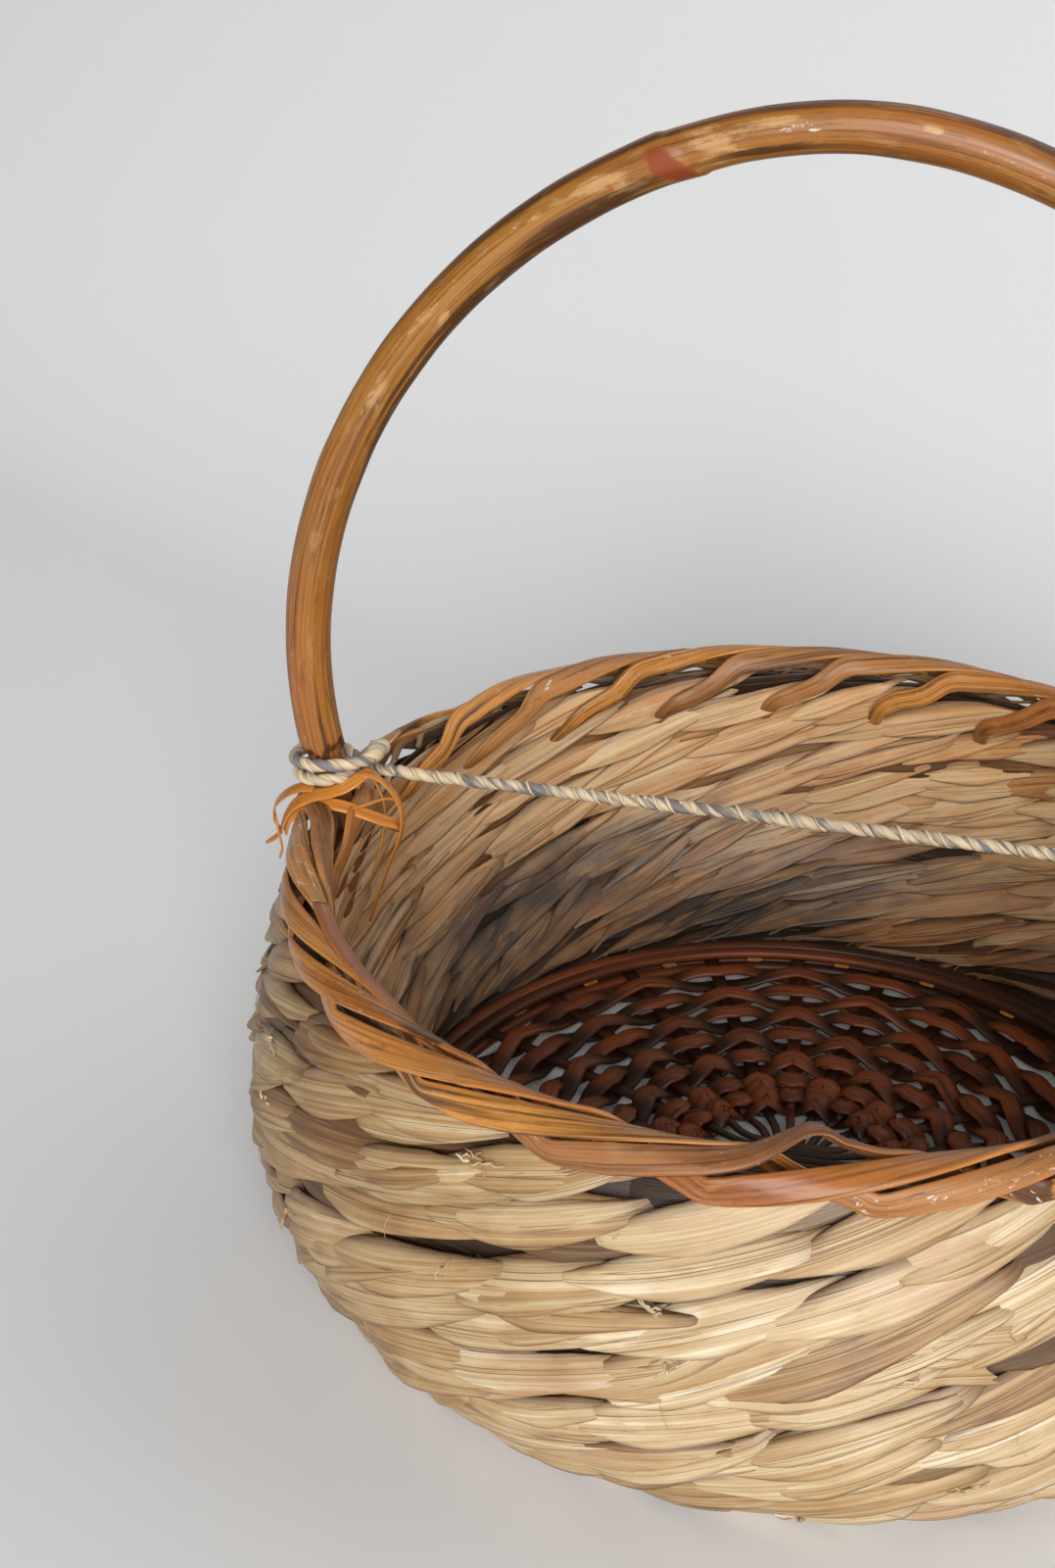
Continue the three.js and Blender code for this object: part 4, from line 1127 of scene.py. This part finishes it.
def lashing(name, side, material):
    """Flat strips of cane skin along their routes. Each faces away from a point inside the border."""
    rng = np.random.default_rng(LASHING_SEED)
    middle = np.array([side * (MOUTH_RADIUS - 1 * MM), 0, BORDER_HEIGHT - 12 * MM])
    edge = 0.5 * np.abs(np.sin(corner_turns(12)))[None, :] ** 6
    parts = []
    for route in (OVER_BAND, FRONT_BAND, HANGING_LOOP, OUTER_TAIL, FRAY, THIN_FIBRE, BACK_BAND):
        line = curve(np.array(route) * [-side, -side, 1, 1] * MM, 0.9 * MM)
        points, wide = line[:, :3], line[:, 3]
        normal = unit((points - middle) * [1, 1.5, 1])
        parts.append(tube(
            points, normal, wide, 0.45 * MM, 12, under=0.8, square=0.7, shift=rng.uniform(0, 5),
            tone=rng.uniform(0, 0.4), wear=0.15, edge=edge,
        ))
    piece(name + "_strips", parts, material, "split_cane", name)


# The base


def hoops(material):
    """Each hoop is shown as two canes side by side, as thick as the hoop is high."""
    rng = np.random.default_rng(HOOP_SEED)
    turn = np.linspace(0, 2 * math.pi, 361)[:-1]
    for name, low, high in (
        ("foot_hoop", 0, FOOT_HOOP_TOP), ("base_edge_hoop", EDGE_HOOP_BOTTOM, EDGE_HOOP_TOP),
    ):
        parts = []
        for inset in HOOP_CANE_INSETS:
            sway = 0.25 * MM * np.sin(5 * turn + rng.uniform(0, 6))
            line = polar(HOOP_OUTER - inset + sway, turn, (low + high) / 2)
            tone = (0.4 + 0.4 * np.sin(3 * turn + rng.uniform(0, 6)))[:, None]
            parts.append(tube(
                line, UP, HOOP_CANE_HALF_WIDTH, (high - low) / 2, 16, looped=True, square=0.85,
                shift=rng.uniform(0, 5), tone=tone, dusk=0.2, wear=0.1, bare=0.0,
            ))
        piece(name + "_canes", parts, material, "base_cane", name)


def base_sticks(material):
    """Sticks that lie side by side in the middle, one way's over the other's, and then fan out."""
    for number in range(2 * STICKS_EACH_WAY):
        rng = np.random.default_rng(STICK_SEED + number)
        rank, crossing = number % STICKS_EACH_WAY, number // STICKS_EACH_WAY
        off = rank + 0.5 - STICKS_EACH_WAY / 2
        layer = LAYER_HEIGHT + (1.15 if crossing == 0 else -1.15) * MM
        rows = [[14 * MM, off * 4 * MM, layer]]
        for radius, height in ((33, layer), (38, LAYER_HEIGHT), (90, LAYER_HEIGHT), (142.2, LAYER_HEIGHT)):
            rows.append(polar(radius * MM, off * PLACE_ANGLE, height))
        half = np.array(rows)
        line = curve(np.concatenate([(half * [-1, 1, 1])[::-1], half]), 2 * MM)
        if crossing:
            line = line[:, [1, 0, 2]] * [-1, 1, 1]
        line = line + 0.2 * MM * np.sin(lengths(line) / (9 * MM) + number)[:, None] * UP
        wide = 1.6 * MM + 1.1 * MM * ease(np.hypot(line[:, 0], line[:, 1]), 36 * MM, 60 * MM)
        part = tube(
            line, UP, wide, STICK_HALF_THICKNESS, 12, shift=rng.uniform(0, 5), tone=rng.uniform(-0.4, 0.3),
            dusk=0.2, wear=0.05, bare=0.0,
        )
        node = f"base_stick_{number + 1}"
        piece(node + "_cane", [part], material, "base_cane", node)


def base_weavers(material):
    """Rings of two canes, one over a stick where the other is under it. z = z0 + w c, where c is
    cos(pi p) raised to a power of 0.8 that keeps its sign, and p counts the sticks. Where they cross,
    one lies outside the other: their radii are off by e |sin(pi p)|, one out and one in. The first
    ring has a second pair inside it."""
    pitch = (LAST_WEAVER - FIRST_WEAVER) / (BASE_WEAVERS - 1)
    for ring in range(BASE_WEAVERS):
        rng = np.random.default_rng(WEAVER_SEED + ring)
        turn = np.linspace(0, 2 * math.pi, PLACES * 14 + 1)[:-1]
        sticks = turn / PLACE_ANGLE - 0.5
        wave = WEAVER_WAVE + 0.3 * MM * np.sin(3 * turn + ring)
        full = (4.5 - 0.22 * ring) * MM
        parts = []
        for over in (0, 1) if ring else (0, 1, 2, 3):
            radius = FIRST_WEAVER + ring * pitch - (over // 2) * SECOND_PAIR
            hump = np.cos(math.pi * (sticks + ring + over))
            height = LAYER_HEIGHT + wave * np.sign(hump) * np.abs(hump) ** 0.8
            sway = 0.6 * MM * np.sin(math.pi * sticks * 0.5 + rng.uniform(0, 6)) * np.sin(turn * 2)
            aside = WEAVER_ASIDE * (1 - 2 * (over % 2)) * np.abs(np.sin(math.pi * sticks))
            line = polar(radius + sway + aside, turn, height)
            # Partly wear, partly painted highlight: the tops of the humps are redder and lighter
            tone = (0.1 + 0.9 * ease(hump, 0, 1) + 0.3 * np.sin(2 * turn + rng.uniform(0, 6)))[:, None]
            parts.append(tube(
                line, UP, full, WEAVER_HALF_THICKNESS, 12, looped=True, shift=rng.uniform(0, 5),
                tone=tone, dusk=0.15, wear=0.05, bare=0.0,
            ))
        node = f"base_weaver_{ring + 1}"
        piece(node + "_canes", parts, material, "base_cane", node)


# The stage


def backdrop():
    """A pale sheet: flat under the basket, then a rise whose slope grows as m (1 - exp(-s / l)), then a
    bend up to a wall. It is turned a little, so that the rise is nearer on the right."""
    back, half, depth = 0.215, 4.5, 5
    skew, step = -0.55, 0.04
    rise, sharpness, bend = math.radians(34), 0.15, math.radians(55)
    along = np.arange(0, depth, step)
    slope = rise * (1 - np.exp(-along / sharpness)) + bend * ease(along, 1.0, 2.4)
    y = back + np.concatenate([[-half, 0], np.cumsum(step * np.cos(slope))])
    z = np.concatenate([[0, 0], np.cumsum(step * np.sin(slope))])
    corners = [(x, b + skew * x, c) for x in (-half, half) for b, c in zip(y, z)]
    n = len(y)
    faces = [(i, i + n, i + n + 1, i + 1) for i in range(n - 1)]
    mesh = bpy.data.meshes.new("backdrop")
    mesh.from_pydata(corners, [], faces)
    mesh.polygons.foreach_set("use_smooth", np.ones(len(faces), bool))
    r = Recipe("pale floor")
    r.join(r.shader.inputs["Base Color"], tuple(colours().floor))
    r.shader.inputs["Roughness"].default_value = 0.75
    mesh.materials.append(r.material)
    sheet = bpy.data.objects.new("backdrop", mesh)
    bpy.context.scene.collection.objects.link(sheet)


def area_light(name, place, toward, size, watts):
    """A square soft light at a place, which shines toward another one."""
    light = bpy.data.lights.new(name, "AREA")
    light.size, light.energy = size, watts
    lamp = bpy.data.objects.new(name, light)
    lamp.location = place
    lamp.rotation_euler = (Vector(place) - Vector(toward)).to_track_quat("Z", "Y").to_euler()
    bpy.context.scene.collection.objects.link(lamp)


def around(azimuth, elevation, distance):
    """The place at a distance from the lit point, azimuth degrees right of the front and elevation up."""
    a, e = math.radians(azimuth), math.radians(elevation)
    out = Vector((math.sin(a) * math.cos(e), -math.cos(a) * math.cos(e), math.sin(e)))
    return LIT_POINT + out * distance


def stage():
    backdrop()
    window = around(azimuth=11, elevation=23, distance=7.0)
    area_light("window light", window, LIT_POINT, WINDOW_SIZE, WINDOW_WATTS)
    world = bpy.data.worlds.new("soft room")
    world.use_nodes = True
    background = world.node_tree.nodes["Background"]
    background.inputs["Color"].default_value = ROOM_COLOUR
    background.inputs["Strength"].default_value = ROOM_STRENGTH
    scene = bpy.context.scene
    scene.world = world
    scene.view_settings.view_transform = "Standard"
    lens = bpy.data.cameras.new("camera")
    lens.lens, lens.sensor_width, lens.sensor_fit = CAMERA_LENS, CAMERA_SENSOR, "AUTO"
    camera = bpy.data.objects.new("camera", lens)
    camera.location = CAMERA_PLACE
    camera.rotation_euler = (math.pi / 2 - CAMERA_PITCH, 0, CAMERA_AZIMUTH)
    scene.collection.objects.link(camera)
    scene.camera = camera


# The add-on


class BASKET_OT_stage(bpy.types.Operator):
    """Make the floor, the lights and the camera"""

    bl_idname = "basket.stage"
    bl_label = "Stage"

    def execute(self, context):
        stage()
        return {"FINISHED"}


class BASKET_OT_cord(bpy.types.Operator):
    """Make the twisted cord that is tied across the handle"""

    bl_idname = "basket.cord"
    bl_label = "Tie cord"

    def execute(self, context):
        tie_cord(cord_material())
        return {"FINISHED"}


class BASKET_OT_base(bpy.types.Operator):
    """Make the hoops, sticks and weavers of the base"""

    bl_idname = "basket.base"
    bl_label = "Base"

    def execute(self, context):
        c = colours()
        # The dark base colours are partly painted shade, and the rust on the humps' tops is partly painted
        # highlight
        material = cane_material("base cane", c.base_brown, c.base_rust, c.leaf_deep, c.base_brown, 0.42)
        hoops(material)
        base_sticks(material)
        base_weavers(material)
        return {"FINISHED"}


class BASKET_OT_stakes(bpy.types.Operator):
    """Make the stakes, whose tails are the rolled border"""

    bl_idname = "basket.stakes"
    bl_label = "Stakes and border"

    def execute(self, context):
        c = colours()
        material = cane_material("border cane", c.border_gold, c.border_rust, c.cane_dark, c.cane_pale, 0.26)
        for place in range(PLACES):
            if place not in HANDLE_PLACES:
                stake_cane(place, material)
        side_canes(material)
        return {"FINISHED"}


class BASKET_OT_wall(bpy.types.Operator):
    """Make the rows of twined leaf"""

    bl_idname = "basket.wall"
    bl_label = "Wall"

    def execute(self, context):
        material = leaf_material()
        for row in range(ROWS):
            wall_row(row, material)
        loose_fibres(material)
        return {"FINISHED"}


class BASKET_OT_handle(bpy.types.Operator):
    """Make the hoop handle"""

    bl_idname = "basket.handle"
    bl_label = "Handle"

    def execute(self, context):
        c = colours()
        handle_cane(cane_material("handle cane", c.cane_gold, c.cane_rust, c.cane_dark, c.cane_pale, 0.32))
        return {"FINISHED"}


class BASKET_OT_lashings(bpy.types.Operator):
    """Make the split cane lashings at the handle's feet"""

    bl_idname = "basket.lashings"
    bl_label = "Lashings"

    def execute(self, context):
        c = colours()
        material = cane_material("split cane", c.split_gold, c.cane_gold, c.cane_rust, c.cane_edge, 0.2)
        lashing("lashing_right", 1, material)
        lashing("lashing_left", -1, material)
        return {"FINISHED"}


class BASKET_PT_panel(bpy.types.Panel):
    """Lists the steps that build the basket, with its sizes and colours"""

    bl_idname = "BASKET_PT_panel"
    bl_label = "Basket"
    bl_space_type = "VIEW_3D"
    bl_region_type = "UI"
    bl_category = "Basket"

    def draw(self, context):
        for group in (context.scene.basket_sizes, context.scene.basket_colours):
            for key in group.__annotations__:
                self.layout.prop(group, key)
        for step in STEPS:
            self.layout.operator(step.bl_idname)


STEPS = (
    BASKET_OT_stage, BASKET_OT_cord, BASKET_OT_base, BASKET_OT_stakes,
    BASKET_OT_wall, BASKET_OT_handle, BASKET_OT_lashings,
)
CLASSES = (BasketSizes, BasketColours, *STEPS, BASKET_PT_panel)


def register():
    for each in CLASSES:
        bpy.utils.register_class(each)
    bpy.types.Scene.basket_sizes = bpy.props.PointerProperty(type=BasketSizes)
    bpy.types.Scene.basket_colours = bpy.props.PointerProperty(type=BasketColours)


def unregister():
    del bpy.types.Scene.basket_sizes
    del bpy.types.Scene.basket_colours
    for each in reversed(CLASSES):
        bpy.utils.unregister_class(each)


def main():
    register()
    for step in STEPS:
        group, name = step.bl_idname.split(".")
        getattr(getattr(bpy.ops, group), name)()


if __name__ == "__main__":
    main()
